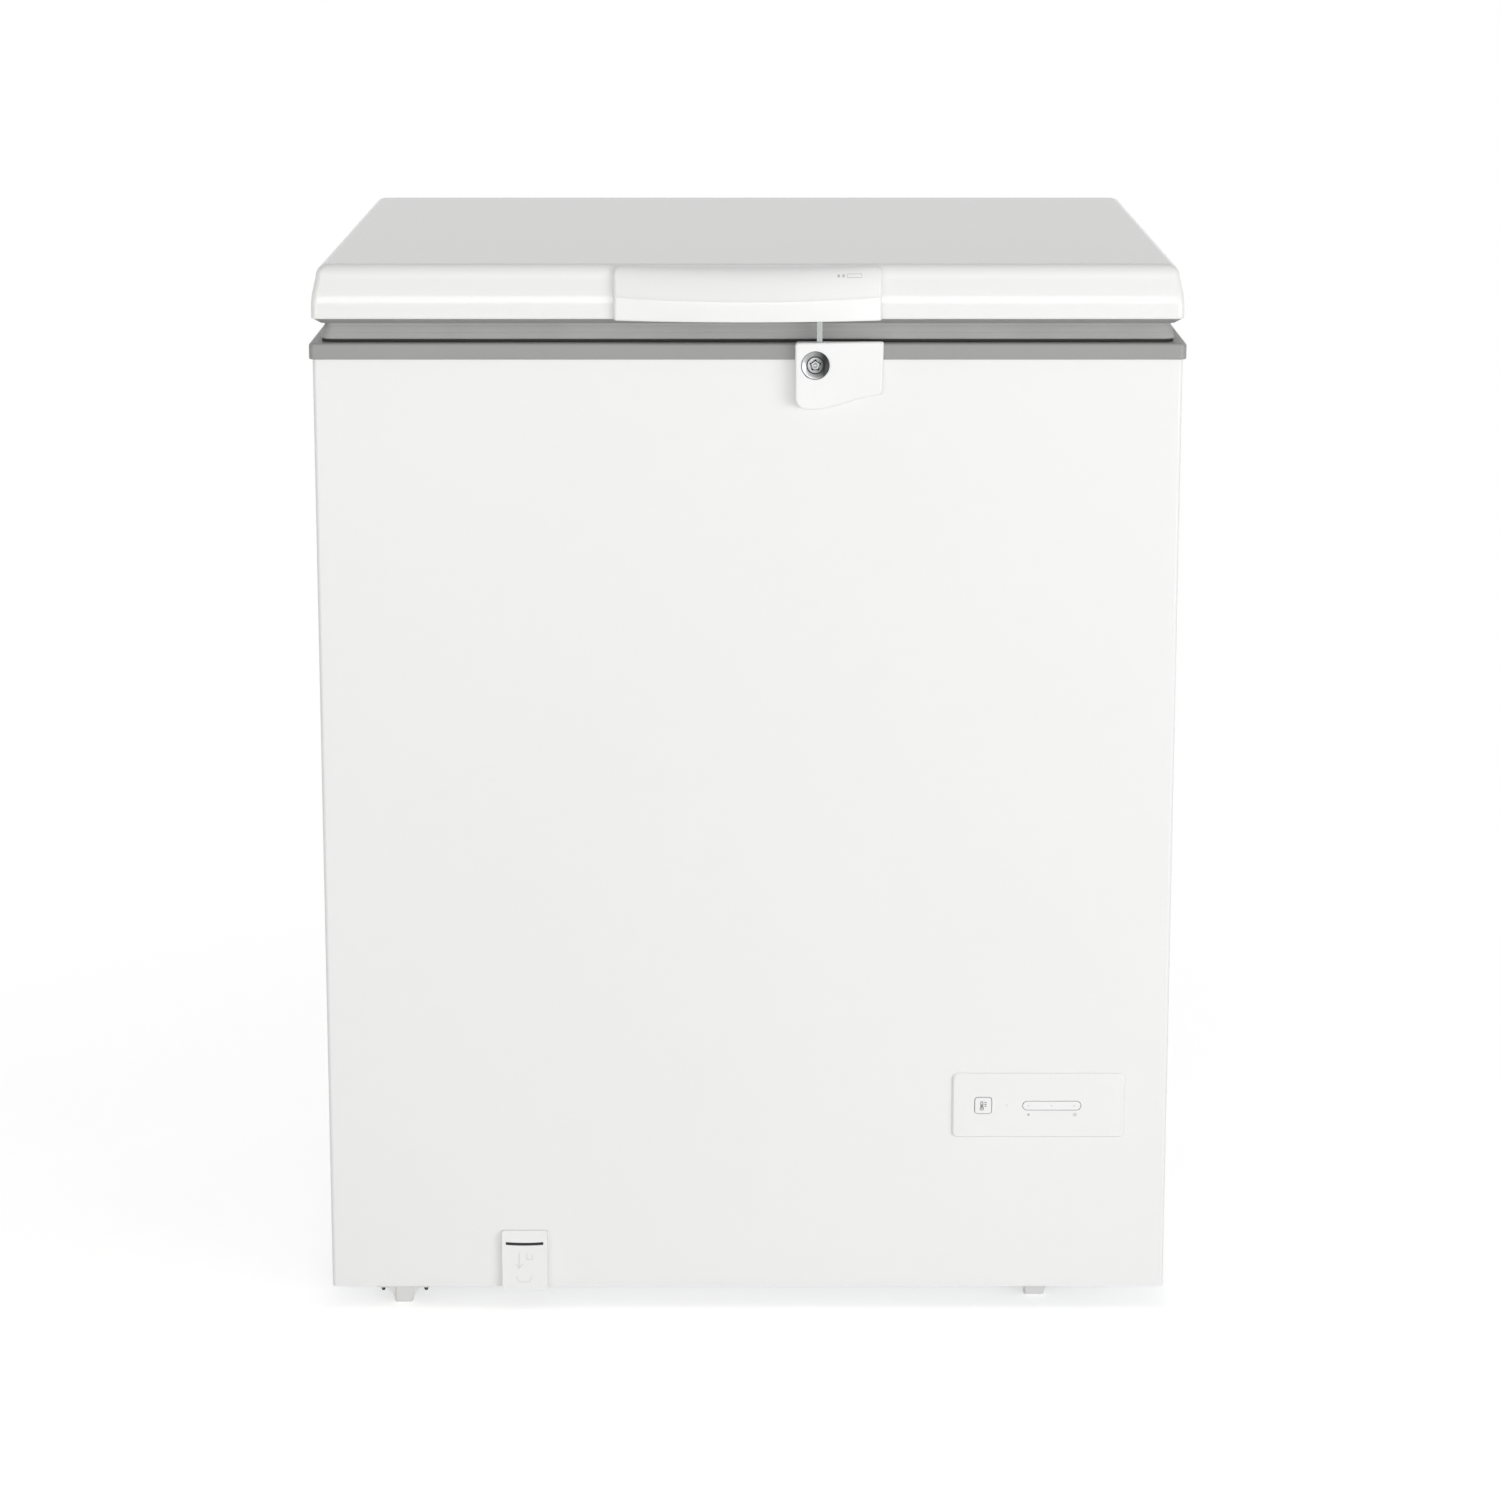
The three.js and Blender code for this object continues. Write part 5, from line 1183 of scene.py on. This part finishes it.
class FREEZER_OT_lock(bpy.types.Operator):
    """Lock housing, chrome ring, key post and hook"""

    bl_idname = "freezer.lock"
    bl_label = "Lock"

    def execute(self, context):
        post, hook, steel, zinc = make_barrel(), make_hook(), "Lock steel", "Plated steel"
        add_piece("lock_cover", make_housing(), "White plastic", "cabinet", "white_plastic", "lock_housing")
        add_piece("lock_ring", make_bezel(), "Lock chrome", "cabinet", "lock_chrome", "lock_bezel", smooth=30)
        # The black disc and ring round the key post are painted shade.
        add_piece("lock_well", make_lock_shade_rings(), "Black rubber", "cabinet", "dark_rubber")
        add_piece("lock_post", post, steel, "lock", "lock_chrome", "lock_barrel", bevel=0.25, segments=2)
        rounding = {"bevel": 0.9, "segments": 4, "angle": 60}
        add_piece("lock_catch", hook, zinc, "lock", "zinc_steel", "lock_hook", **rounding)
        return {"FINISHED"}


# Control panel


def make_control_panel():
    slope = sizes("panel_edge")
    outer = PANEL.outline("y", 0, 5.5)
    inner = PANEL._replace(top=PANEL.top - sizes("panel_top_edge") + slope).outline("y", slope, 3.2)
    layers = ((outer, -WALL_GAP), (outer, -1.2), (inner, PANEL.front))
    plate = loft([flat_loop("y", outline, depth) for outline, depth in layers])
    return carved(
        fused(plate, PANEL.slab(PANEL_BOSS, -1, 9)),
        PANEL.slab(PANEL_BOSS + 2, -WALL_GAP, 14),
        prism("y", BUTTON.outline("y", 1.4, 3.1), -9, 9),
        prism("y", LENS.outline("y", 1.1, 4.4), -9, 9),
        prism("y", circle(233.0, 191.0, 0.7, 24), -9, -2),
    )


def capped(box, inset, radius, depth, rim_radius):
    """A cap that stands in the panel's opening, with a wider rim behind it."""
    cap = prism("y", box.outline("y", inset, radius), box.front, depth)
    return fused(cap, prism("y", box.outline("y", 0, rim_radius), 0, box.back))


def make_panel_marks():
    """A dot and a star of cold under the lens."""
    height, ink, surface = 182.1, 0.04, level(PANEL.front)
    form = stroke(circle(252.7, height, 0.7, 12), 1.1, ink, surface, closed=True)
    middle = Vector((294.4, height))
    for i in range(3):
        turn = math.pi * (i / 3 + 0.5)
        across = Vector((math.cos(turn), math.sin(turn))) * 2.3
        form.add(stroke([middle - across, middle + across], 0.45, ink, surface))
    return form


def make_button_mark():
    """A small thermometer with three ticks on the button."""
    ink, surface = 0.04, level(BUTTON.front)
    x, z = BUTTON.middle("x") - 1.2, BUTTON.middle("z")
    stem = [(x + a, z + 2.7 + b) for a, b in arc(0, 180, 8, 0.95)]
    bulb = [(x + a, z - 2.7 + b) for a, b in arc(130, 410, 12, 1.5)]
    form = stroke([*stem, *bulb], 0.75, ink, surface, closed=True)
    form.add(stroke([(x, z - 3.0), (x, z + 1.2)], 1.0, ink, surface))
    for height in (2.9, 1.2, -0.5):
        form.add(stroke([(x + 2.2, z + height), (x + 4.2, z + height)], 0.85, ink, surface))
    return form


def make_lens_marks():
    form = Form()
    for x in (252.7, 273.3, 293.9):
        form.add(stroke(circle(x, LENS.middle("z"), 0.5, 10), 0.7, 0.03, level(LENS.front), closed=True))
    return form


class FREEZER_OT_panel(bpy.types.Operator):
    """Control panel with its button, lens and marks"""

    bl_idname = "freezer.panel"
    bl_label = "Control panel"

    def execute(self, context):
        look, button = "Panel plastic", "temperature_button"
        plate = make_control_panel()
        key, window = capped(BUTTON, 2, 2.5, 0.6, 2.5), capped(LENS, 1.6, 3.94, 0.5, 5)
        edges = {"bevel": 0.15, "segments": 2, "angle": 14, "smooth": 20}
        add_piece("panel_plate", plate, look, "cabinet", "white_plastic", "control_panel", **edges)
        add_piece("panel_button", key, look, button, "white_plastic", button, bevel=0.4)
        add_piece("panel_lens", window, "Clear lens", "cabinet", "lens_grey", "indicator_lens", bevel=0.3)
        add_piece("panel_marks", make_panel_marks(), "Faint print", "cabinet", "dark_steel")
        add_piece("button_mark", make_button_mark(), "Print grey", button, "dark_steel")
        add_piece("lens_marks", make_lens_marks(), "Pale print", "cabinet", "lens_grey")
        return {"FINISHED"}


# Drain


def slot_outline(inset):
    """The drain cover's slot, which sags a little in the middle."""
    half, high, tall, sag = 17, SPOUT.top - 9.6, 2.7, 0.7
    line = [(share, sag * (1 - share**2)) for share in (i / 6 - 1 for i in range(13))]
    upper = [(DRAIN[0] + share * (half - inset), high - inset - low) for share, low in line]
    lower = [(DRAIN[0] + share * (half - inset), high - tall + inset - low) for share, low in line]
    return lower + upper[::-1]


# A black sheet just behind the drain cover's slot: painted shade inside the slot.
def make_slot_shade_sheet():
    return prism("y", slot_outline(0.1), SPOUT.front + 0.25, SPOUT.front + 3.9)


def make_spout():
    """The drain cover with a slanting upper edge and a slot, and its pipe with an outlet."""
    width, height = SPOUT.right - SPOUT.left, SPOUT.top - SPOUT.bottom
    shares = [(0, 0.09), (0.02, 0.045), (0.06, 0.028), (0.2, 0.012), (0.35, 0.003), (0.5, 0)]
    shares += [(1 - a, b) for a, b in reversed(shares[:-1])]
    shares += [(1, 0.97), (0.985, 0.993), (0.96, 1), (0.04, 1), (0.015, 0.993), (0, 0.97)]
    outline = [(SPOUT.left + a * width, SPOUT.bottom + b * height) for a, b in shares]
    front, top, out = SPOUT.front, SPOUT.top, SPOUT.front - OVERRUN
    slope = [(out, top - 7.5), (front, top - 7.5), (front + 3.6, top), (front + 3.6, top + 5), (out, top + 5)]
    cover = carved(
        prism("y", outline, front, -WALL_GAP),
        prism("x", slope, SPOUT.left - OVERRUN, SPOUT.right + OVERRUN),
    )
    pipe = turned("y", [(7.5, front / 2), (7.5, SPOUT.back)], DRAIN, 40)
    bore = turned("y", [(6, 0.8), (6, SPOUT.back + OVERRUN)], DRAIN, 40)
    outlet = block(DRAIN[0] - 4, DRAIN[0] + 4, 2.3, 10.3, 27, DRAIN[1])
    return carved(fused(cover, pipe), bore, prism("y", slot_outline(0), out, front + 4), outlet)


def make_spout_marks():
    """Raised signs on the drain cover: an arrow down, a step and a bowl."""
    x, form = DRAIN[0], Form()
    for width, line in (
        (1.0, [(x - 5, 52), (x - 5, 38)]),
        (1.0, [(x - 8, 41.5), (x - 5, 37.6), (x - 2, 41.5)]),
        (0.9, [(x + 2, 52), (x + 2, 46), (x + 7, 46), (x + 7, 50)]),
        (1.0, [(x - 7.5, 30), (x - 5.5, 24.5), (x + 4.5, 24.5), (x + 6.5, 30)]),
    ):
        form.add(stroke(line, width, 0.22, level(SPOUT.front)))
    return form


def make_plug():
    low, high = PLUG.bottom, PLUG.top
    stem = [(0.4, low), (6.6, low), (7.5, low + 1), (7.5, 84.5)]
    disc = [(12.2, 84.5), (13, 85.0), (13, 86.6), (12.4, 87.3), (5.2, 87.6)]
    knob = [(4.2, 88.3), (3.7, 91), (4, 93.5), (3.8, 95), (3.2, high), (0.4, high)]
    return turned("z", stem + disc + knob, (PLUG.middle("x"), PLUG_DEPTH))


class FREEZER_OT_drain(bpy.types.Operator):
    """Drain cover at the front and plug in the tub"""

    bl_idname = "freezer.drain"
    bl_label = "Drain"

    def execute(self, context):
        body, white, signs = "drain_spout", "white_plastic", make_spout_marks()
        add_piece("drain_cover", make_spout(), "White plastic", body, white, body, bevel=0.8, angle=25)
        # The black sheet behind the slot is painted shade.
        add_piece("drain_slot_lining", make_slot_shade_sheet(), "Black rubber", body, "dark_rubber")
        # The signs' darker grey is painted shade of the relief.
        add_piece("drain_cover_signs", signs, "Raised signs", body, white, bevel=0.12, segments=2)
        add_piece("tub_plug", make_plug(), "Gasket rubber", "drain_plug", "gasket_rubber", "drain_plug")
        return {"FINISHED"}


# Feet, vents and what stands at the back

LOUVRES, LOUVRE_STEP, LOUVRE_LOW, LOUVRE_HEIGHT = 7, 16, 96, 7
SLATS, SLAT_WIDTH = 7, 9.4


def make_foot(node):
    """A foot whose webs flare up to its screwed plate."""
    box = box_of(node)
    x, y, top = box.middle("x"), box.middle("y"), box.top
    half = 8.3 if "left" in node else 9.35
    wide = rounded(x - half, x + half, y - 12, y + 12, 2.5, 4)
    low = drawn_in(wide, 0.8)
    post = loft([flat_loop("z", low, 0), flat_loop("z", wide, 1.6), flat_loop("z", wide, top)])
    flare = [(0, 4.2), (2.2, 8.4), (5.4, 12.2), (10.5, top - 2), (10.5, top)]
    web = [(x - half - a, b) for a, b in reversed(flare)] + [(x + half + a, b) for a, b in flare]
    plate = prism("z", rounded(x - 24, x + 24, y - 15, y + 15, 4, 5), top - 2.5, top)
    webs = [prism("y", web, y + side - 1.2, y + side + 1.2) for side in (-9.5, 9.5)]
    return fused(post, plate, *webs)


def make_grille_frame():
    inner, outer = GRILLE.left, GRILLE.right
    wide = GRILLE.outline("x", 0, 5)
    narrow = drawn_in(wide, 1.2)
    layers = ((wide, inner), (wide, inner + 0.4), (narrow, outer))
    plate = loft([flat_loop("x", outline, place) for outline, place in layers])
    window = GRILLE._replace(front=GRILLE.front - 1, back=GRILLE.back + 1).outline("x", GRILLE_BORDER, 3)
    return carved(plate, prism("x", window, inner - OVERRUN, outer + OVERRUN))


def make_cover_sheet():
    through = COVER.front - OVERRUN, COVER.back + OVERRUN
    plate = prism("y", COVER.outline("y", 0, 3), COVER.front, COVER.back)
    heights = [LOUVRE_LOW + LOUVRE_STEP * i for i in range(LOUVRES)]
    ends = COVER.left + 26, COVER.right - 26
    slots = [prism("y", rounded(*ends, z, z + LOUVRE_HEIGHT, 3.4, 5), *through) for z in heights]
    return carved(plate, *slots, prism("y", circle(*CORD_ENTRY, 7.3, 32), *through))


def make_gland():
    sleeve = [(4, -8), (7, -8), (7, 0.3)]
    collar = [(10.5, 0.3), (10.5, 2.2), (9.6, 3.1), (7.5, 3.3), (4.4, 3.3), (4, 2.9)]
    profile = [(radius, COVER.back + y) for radius, y in sleeve + collar]
    return turned("y", profile, CORD_ENTRY, 40, ring=True)


def make_compressor():
    """The compressor's can of two shells with a welded seam, on its plate."""
    box = box_of("compressor")
    x, y = box.middle("x"), 430.0
    pan = [(0.02, 0), (0.8, 0), (0.93, 0.04), (0.98, 0.14), (1, 0.3), (1, 0.415)]
    seam = [(1.055, 0.42), (1.06, 0.445), (1.055, 0.47), (1, 0.475)]
    dome = [(0.995, 0.62), (0.95, 0.78), (0.85, 0.9), (0.66, 0.98), (0.4, 1), (0.02, 1)]
    bottom = box.bottom + 1
    loops = []
    for wide, high in curve_through(pan + seam + dome, 2):
        height = bottom + high * (box.top - bottom)
        loops.append([(x + 84 * wide * a, y + 66 * wide * b, height) for a, b in circle(0, 0, 1, 56)])
    plate = prism("z", rounded(x - 88, x + 88, y - 62, y + 62, 10, 4), box.bottom, box.bottom + 3)
    return loft(loops).add(plate)


class FREEZER_OT_base(bpy.types.Operator):
    """Feet, vent, rear cover, cord entry and compressor"""

    bl_idname = "freezer.base"
    bl_label = "Base and vents"

    def execute(self, context):
        body, white = "cabinet", "white_plastic"
        for corner in CORNERS:
            node, edges = "foot_" + corner, {"bevel": 0.35, "segments": 2}
            add_piece("stand_" + corner, make_foot(node), "Foot plastic", body, white, node, **edges)
        add_piece("vent_frame", make_grille_frame(), "White plastic", body, white, "vent_grille")
        add_piece("rear_cover", make_cover_sheet(), "Zinc sheet", body, "zinc_steel", "compressor_cover")
        add_piece("cord_entry", make_gland(), "Black rubber", body, "dark_rubber", "cord_gland")
        add_piece("compressor_can", make_compressor(), "Black paint", body, "black_paint", "compressor")
        return {"FINISHED"}


class FREEZER_OT_repeats(bpy.types.Operator):
    """Slats, louvres and screws"""

    bl_idname = "freezer.repeats"
    bl_label = "Slats, louvres and screws"

    def execute(self, context):
        low, high = GRILLE.bottom + GRILLE_BORDER, GRILLE.top - GRILLE_BORDER
        gap = (high - low - SLATS * SLAT_WIDTH) / (SLATS + 1)
        lowest, rise = low + gap + SLAT_WIDTH / 2, SLAT_WIDTH + gap
        values = row_values(GRILLE.left + 0.7, GRILLE.middle("y"), lowest, rise)
        values |= {"Count": SLATS, "Half Length": (0, 80.5 * MM, 0), "Width": SLAT_WIDTH * MM}
        values |= {"Thickness": 1.3 * MM, "Tilt": 1.42, "Finish": Finish.made["White plastic"]}
        slat_tree().grow("vent_slats", bpy.data.meshes.new("start"), values, "cabinet", "white_plastic")
        values = row_values(COVER.middle("x"), COVER.back - 0.1, LOUVRE_LOW + LOUVRE_HEIGHT, LOUVRE_STEP)
        values |= {"Count": LOUVRES, "Size": (88 * MM, 4.2 * MM, 6.5 * MM)}
        values["Finish"] = Finish.made["Zinc sheet"]
        louvre_tree().grow("cover_louvres", bpy.data.meshes.new("start"), values, "cabinet", "zinc_steel")
        self.screws()
        return {"FINISHED"}

    def screws(self):
        tree = screw_tree()
        places = [(x, COVER.back, z) for x in (COVER.left + 9, COVER.right - 9) for z in (28, 134, 240)]
        places += [(x, BACK, z) for x in (-366, 366) for z in (300, 500, 700, 850)]
        places += [(-366, BACK, 28), (-120, BACK, 28), (130, BACK, 28), (-366, BACK, 160)]
        spots = [(x, y + 0.1, z, (0, 1, 0)) for x, y, z in places]
        values = {"Head Radius": 3.6 * MM, "Head Height": 1.6 * MM, "Finish": Finish.made["Plated steel"]}
        tree.grow("back_screws", spots_mesh(spots), values, "cabinet", "zinc_steel")
        names = ["foot_screw_" + corner + "_" + letter for corner in CORNERS for letter in "ab"]
        boxes = [box_of(name) for name in names]
        spots = [(box.middle("x"), box.middle("y"), 9.4, (0, 0, -1)) for box in boxes]
        values = {"Head Radius": 1.9 * MM, "Head Height": 2.4 * MM, "Shank": 5.6 * MM}
        values["Finish"] = Finish.made["Dark steel"]
        heads = tree.grow("foot_screws", spots_mesh(spots), values, "cabinet", "dark_steel")
        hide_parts(*names)


# Hinges


def hinge_part(spot, reach, outline, bars):
    """Upright plates of an outline joined by bars of (front, back, bottom, top), with the pin's hole."""
    x, y, z = spot
    plate, upright = 2, [(y + a, z + b) for a, b in outline]
    ears = [prism("x", upright, x + start, x + start + plate) for start in (-reach, reach - plate)]
    joined = [block(x - reach, x + reach, y + a, y + b, z + c, z + d) for a, b, c, d in bars]
    return carved(fused(*joined, *ears), prism("x", circle(y, z, 4.1, 24), x - 20, x + 20))


def make_hinge_base(spot):
    outline = [(-11.7, -60), (10.4, -52), (10.4, -4), *arc(0, 150, 12, 8), (-11.7, -1)]
    bars = [(-11.7, -9.7, -60, -1), (-14.7, -9.7, -60, -24.3), (8.4, 10.4, -28, -18)]
    return hinge_part(spot, 14.5, outline, bars)


def make_hinge_arm(spot):
    outline = [*arc(180, 360, 12, 8), (8, 10.4), (-8.2, 46), (-12.2, 46), (-12.2, 8.4)]
    return hinge_part(spot, 12, outline, [(-12.2, -10.2, 8.4, 46), (-12.2, 0, 8.4, 10.4)])


def make_hinge_pin(x, y, z):
    half = [(3.5, 14.8), (5.5, 14.8), (5.5, 15.9), (4.6, 16.4)]
    profile = [(radius, x - along) for radius, along in reversed(half)]
    profile += [(radius, x + along) for radius, along in half]
    return turned("x", profile, (y, z), 32)


def make_spring(x, y, z):
    turns, pitch, radius = 4.25, 2.8, 7.0
    start = -pitch * turns / 2
    path = [(x + start, y + radius, z - 22), (x + start, y + radius, z - 11)]
    for i in range(int(turns * 24) + 1):
        t = math.tau * i / 24
        path.append((x + start + pitch * i / 24, y + radius * math.cos(t), z + radius * math.sin(t)))
    path.append((x - start, y - 8.8, z + radius))
    return tube(path, 1.1, 10)


class FREEZER_OT_hinges(bpy.types.Operator):
    """Hinge brackets, pins and springs"""

    bl_idname = "freezer.hinges"
    bl_label = "Hinges"

    def execute(self, context):
        zinc, slot, edges = "Zinc sheet", "zinc_steel", {"bevel": 0.35, "segments": 2}
        for side in ("left", "right"):
            pin = box_of("hinge_pin_" + side)
            spot = [pin.middle(axis) for axis in "xyz"]
            base, arm, rod = make_hinge_base(spot), make_hinge_arm(spot), make_hinge_pin(*spot)
            add_piece("bracket_" + side, base, zinc, "cabinet", slot, "hinge_base_" + side, **edges)
            add_piece("lid_arm_" + side, arm, zinc, "lid", slot, "hinge_arm_" + side, **edges)
            add_piece("pin_" + side, rod, "Plated steel", "cabinet", slot, "hinge_pin_" + side)
            spring = make_spring(*spot)
            add_piece("spring_" + side, spring, "Dark steel", "cabinet", "dark_steel", "hinge_spring_" + side)
        return {"FINISHED"}


# Studio


def seen_directly(nodes):
    """One for rays from the camera and for those that mirror or pass through, and nought for the rest."""
    path = nodes.add("ShaderNodeLightPath").outputs
    total = path["Is Camera Ray"]
    for name in ("Is Glossy Ray", "Is Transmission Ray"):
        total = nodes.out("ShaderNodeMath", {0: total, 1: path[name]}, operation="MAXIMUM")
    return total


def make_world(strength):
    world = bpy.data.worlds.new("Studio air")
    bpy.context.scene.world = world
    world.use_nodes = True
    world.node_tree.nodes.clear()
    air = Nodes(world.node_tree)
    light = air.out("ShaderNodeBackground", {"Color": (1, 1, 1, 1), "Strength": strength})
    white = air.out("ShaderNodeBackground", {"Color": (1, 1, 1, 1), "Strength": 1.0})
    seen = air.out("ShaderNodeMixShader", {0: seen_directly(air), 1: light, 2: white})
    air.add("ShaderNodeOutputWorld", {"Surface": seen})


def floor_finish():
    """Pale floor: near the freezer it takes the shadow, and further out it melts into the white."""
    material = bpy.data.materials.new("Pale floor")
    material.use_nodes = True
    material.node_tree.nodes.clear()
    floor = Nodes(material.node_tree)
    where = floor.add("ShaderNodeTexCoord").outputs["Object"]
    speckle = floor.out("ShaderNodeTexNoise", {"Vector": where, "Scale": 40.0})
    grey = floor.out("ShaderNodeMapRange", {"Value": speckle, "To Min": 0.79, "To Max": 0.81})
    base = floor.out("ShaderNodeBsdfDiffuse", {"Color": grey})
    lift = floor.out("ShaderNodeEmission", {"Strength": 0.5})
    near = floor.out("ShaderNodeAddShader", {0: base, 1: lift})
    white = floor.out("ShaderNodeEmission", {"Strength": 1.0})
    distance = floor.add("ShaderNodeVectorMath", {0: where}, operation="LENGTH").outputs["Value"]
    values = {"Value": distance, "From Min": 0.55, "From Max": 1.3}
    fade = floor.out("ShaderNodeMapRange", values, interpolation_type="SMOOTHSTEP")
    melt = floor.out("ShaderNodeMixShader", {0: fade, 1: near, 2: white})
    seen = floor.out("ShaderNodeMixShader", {0: seen_directly(floor), 1: base, 2: melt})
    floor.add("ShaderNodeOutputMaterial", {"Surface": seen})
    return material


def add_lamp(name, spot, target, size, strength):
    data = bpy.data.lights.new(name, "AREA")
    data.shape = "RECTANGLE"
    data.size, data.size_y = size
    data.energy = strength
    lamp = linked(name, data)
    lamp.location = spot
    lamp.rotation_mode = "QUATERNION"
    lamp.rotation_quaternion = (Vector(target) - Vector(spot)).to_track_quat("-Z", "Y")
    return lamp


class FREEZER_OT_stage(bpy.types.Operator):
    """Floor, soft lamps, white surroundings and camera"""

    bl_idname = "freezer.stage"
    bl_label = "Studio"

    def execute(self, context):
        studio = context.scene.freezer_studio
        context.scene.view_settings.view_transform = "Standard"
        make_world(studio.sky)
        floor = bpy.data.meshes.new("floor")
        floor.from_pydata([(-9, -9, 0), (9, -9, 0), (9, 9, 0), (-9, 9, 0)], [], [(0, 1, 2, 3)])
        floor.materials.append(floor_finish())
        linked("floor", floor)
        middle = (0, 0, 0.5)
        add_lamp("key lamp", (2.6, -3.0, 0.72), middle, (2.4, 1.1), studio.key)
        add_lamp("fill lamp", (-2.2, -3.2, 0.72), middle, (2.0, 1.1), studio.fill)
        add_lamp("strip lamp", (0, -4.7, 1.35), (0, 0, 0.9), (3.2, 0.7), studio.strip)
        for side in (-1, 1):
            rear = add_lamp("rear lamp", (side * 2.6, 3.4, 0.7), middle, (2.4, 1.0), studio.rear)
            rear.visible_glossy = False
            rear.visible_camera = False
        camera = linked("camera", bpy.data.cameras.new("camera"))
        camera.data.lens = studio.lens
        camera.data.sensor_width = 36
        camera.data.shift_y = studio.shift
        camera.location = (studio.camera_side, FRONT - studio.camera_distance, studio.camera_height)
        camera.rotation_euler = (math.pi / 2 - studio.camera_pitch, 0, 0)
        context.scene.camera = camera
        return {"FINISHED"}


# Panel and registration

BUILDERS = [
    FREEZER_OT_stage,
    FREEZER_OT_carried,
    FREEZER_OT_cabinet,
    FREEZER_OT_lid,
    FREEZER_OT_handle,
    FREEZER_OT_lock,
    FREEZER_OT_panel,
    FREEZER_OT_drain,
    FREEZER_OT_base,
    FREEZER_OT_repeats,
    FREEZER_OT_hinges,
]
GROUPS = {"freezer_sizes": FreezerSizes, "freezer_colours": FreezerColours, "freezer_studio": FreezerStudio}


class FREEZER_PT_sidebar(bpy.types.Panel):
    """Lists the steps, sizes, colours and studio values"""

    bl_idname = "FREEZER_PT_sidebar"
    bl_label = "Chest freezer"
    bl_space_type = "VIEW_3D"
    bl_region_type = "UI"
    bl_category = "Freezer"

    def draw(self, context):
        for builder in BUILDERS:
            self.layout.operator(builder.bl_idname)
        for name in GROUPS:
            group, box = getattr(context.scene, name), self.layout.box()
            for value in group.__annotations__:
                box.prop(group, value)


def register():
    for name, group in GROUPS.items():
        bpy.utils.register_class(group)
        setattr(bpy.types.Scene, name, PointerProperty(type=group))
    for builder in BUILDERS:
        bpy.utils.register_class(builder)
    bpy.utils.register_class(FREEZER_PT_sidebar)


def unregister():
    bpy.utils.unregister_class(FREEZER_PT_sidebar)
    for builder in reversed(BUILDERS):
        bpy.utils.unregister_class(builder)
    for name, group in GROUPS.items():
        delattr(bpy.types.Scene, name)
        bpy.utils.unregister_class(group)


def main():
    register()
    make_finishes()
    for builder in BUILDERS:
        group, name = builder.bl_idname.split(".")
        getattr(getattr(bpy.ops, group), name)()


if __name__ == "__main__":
    main()
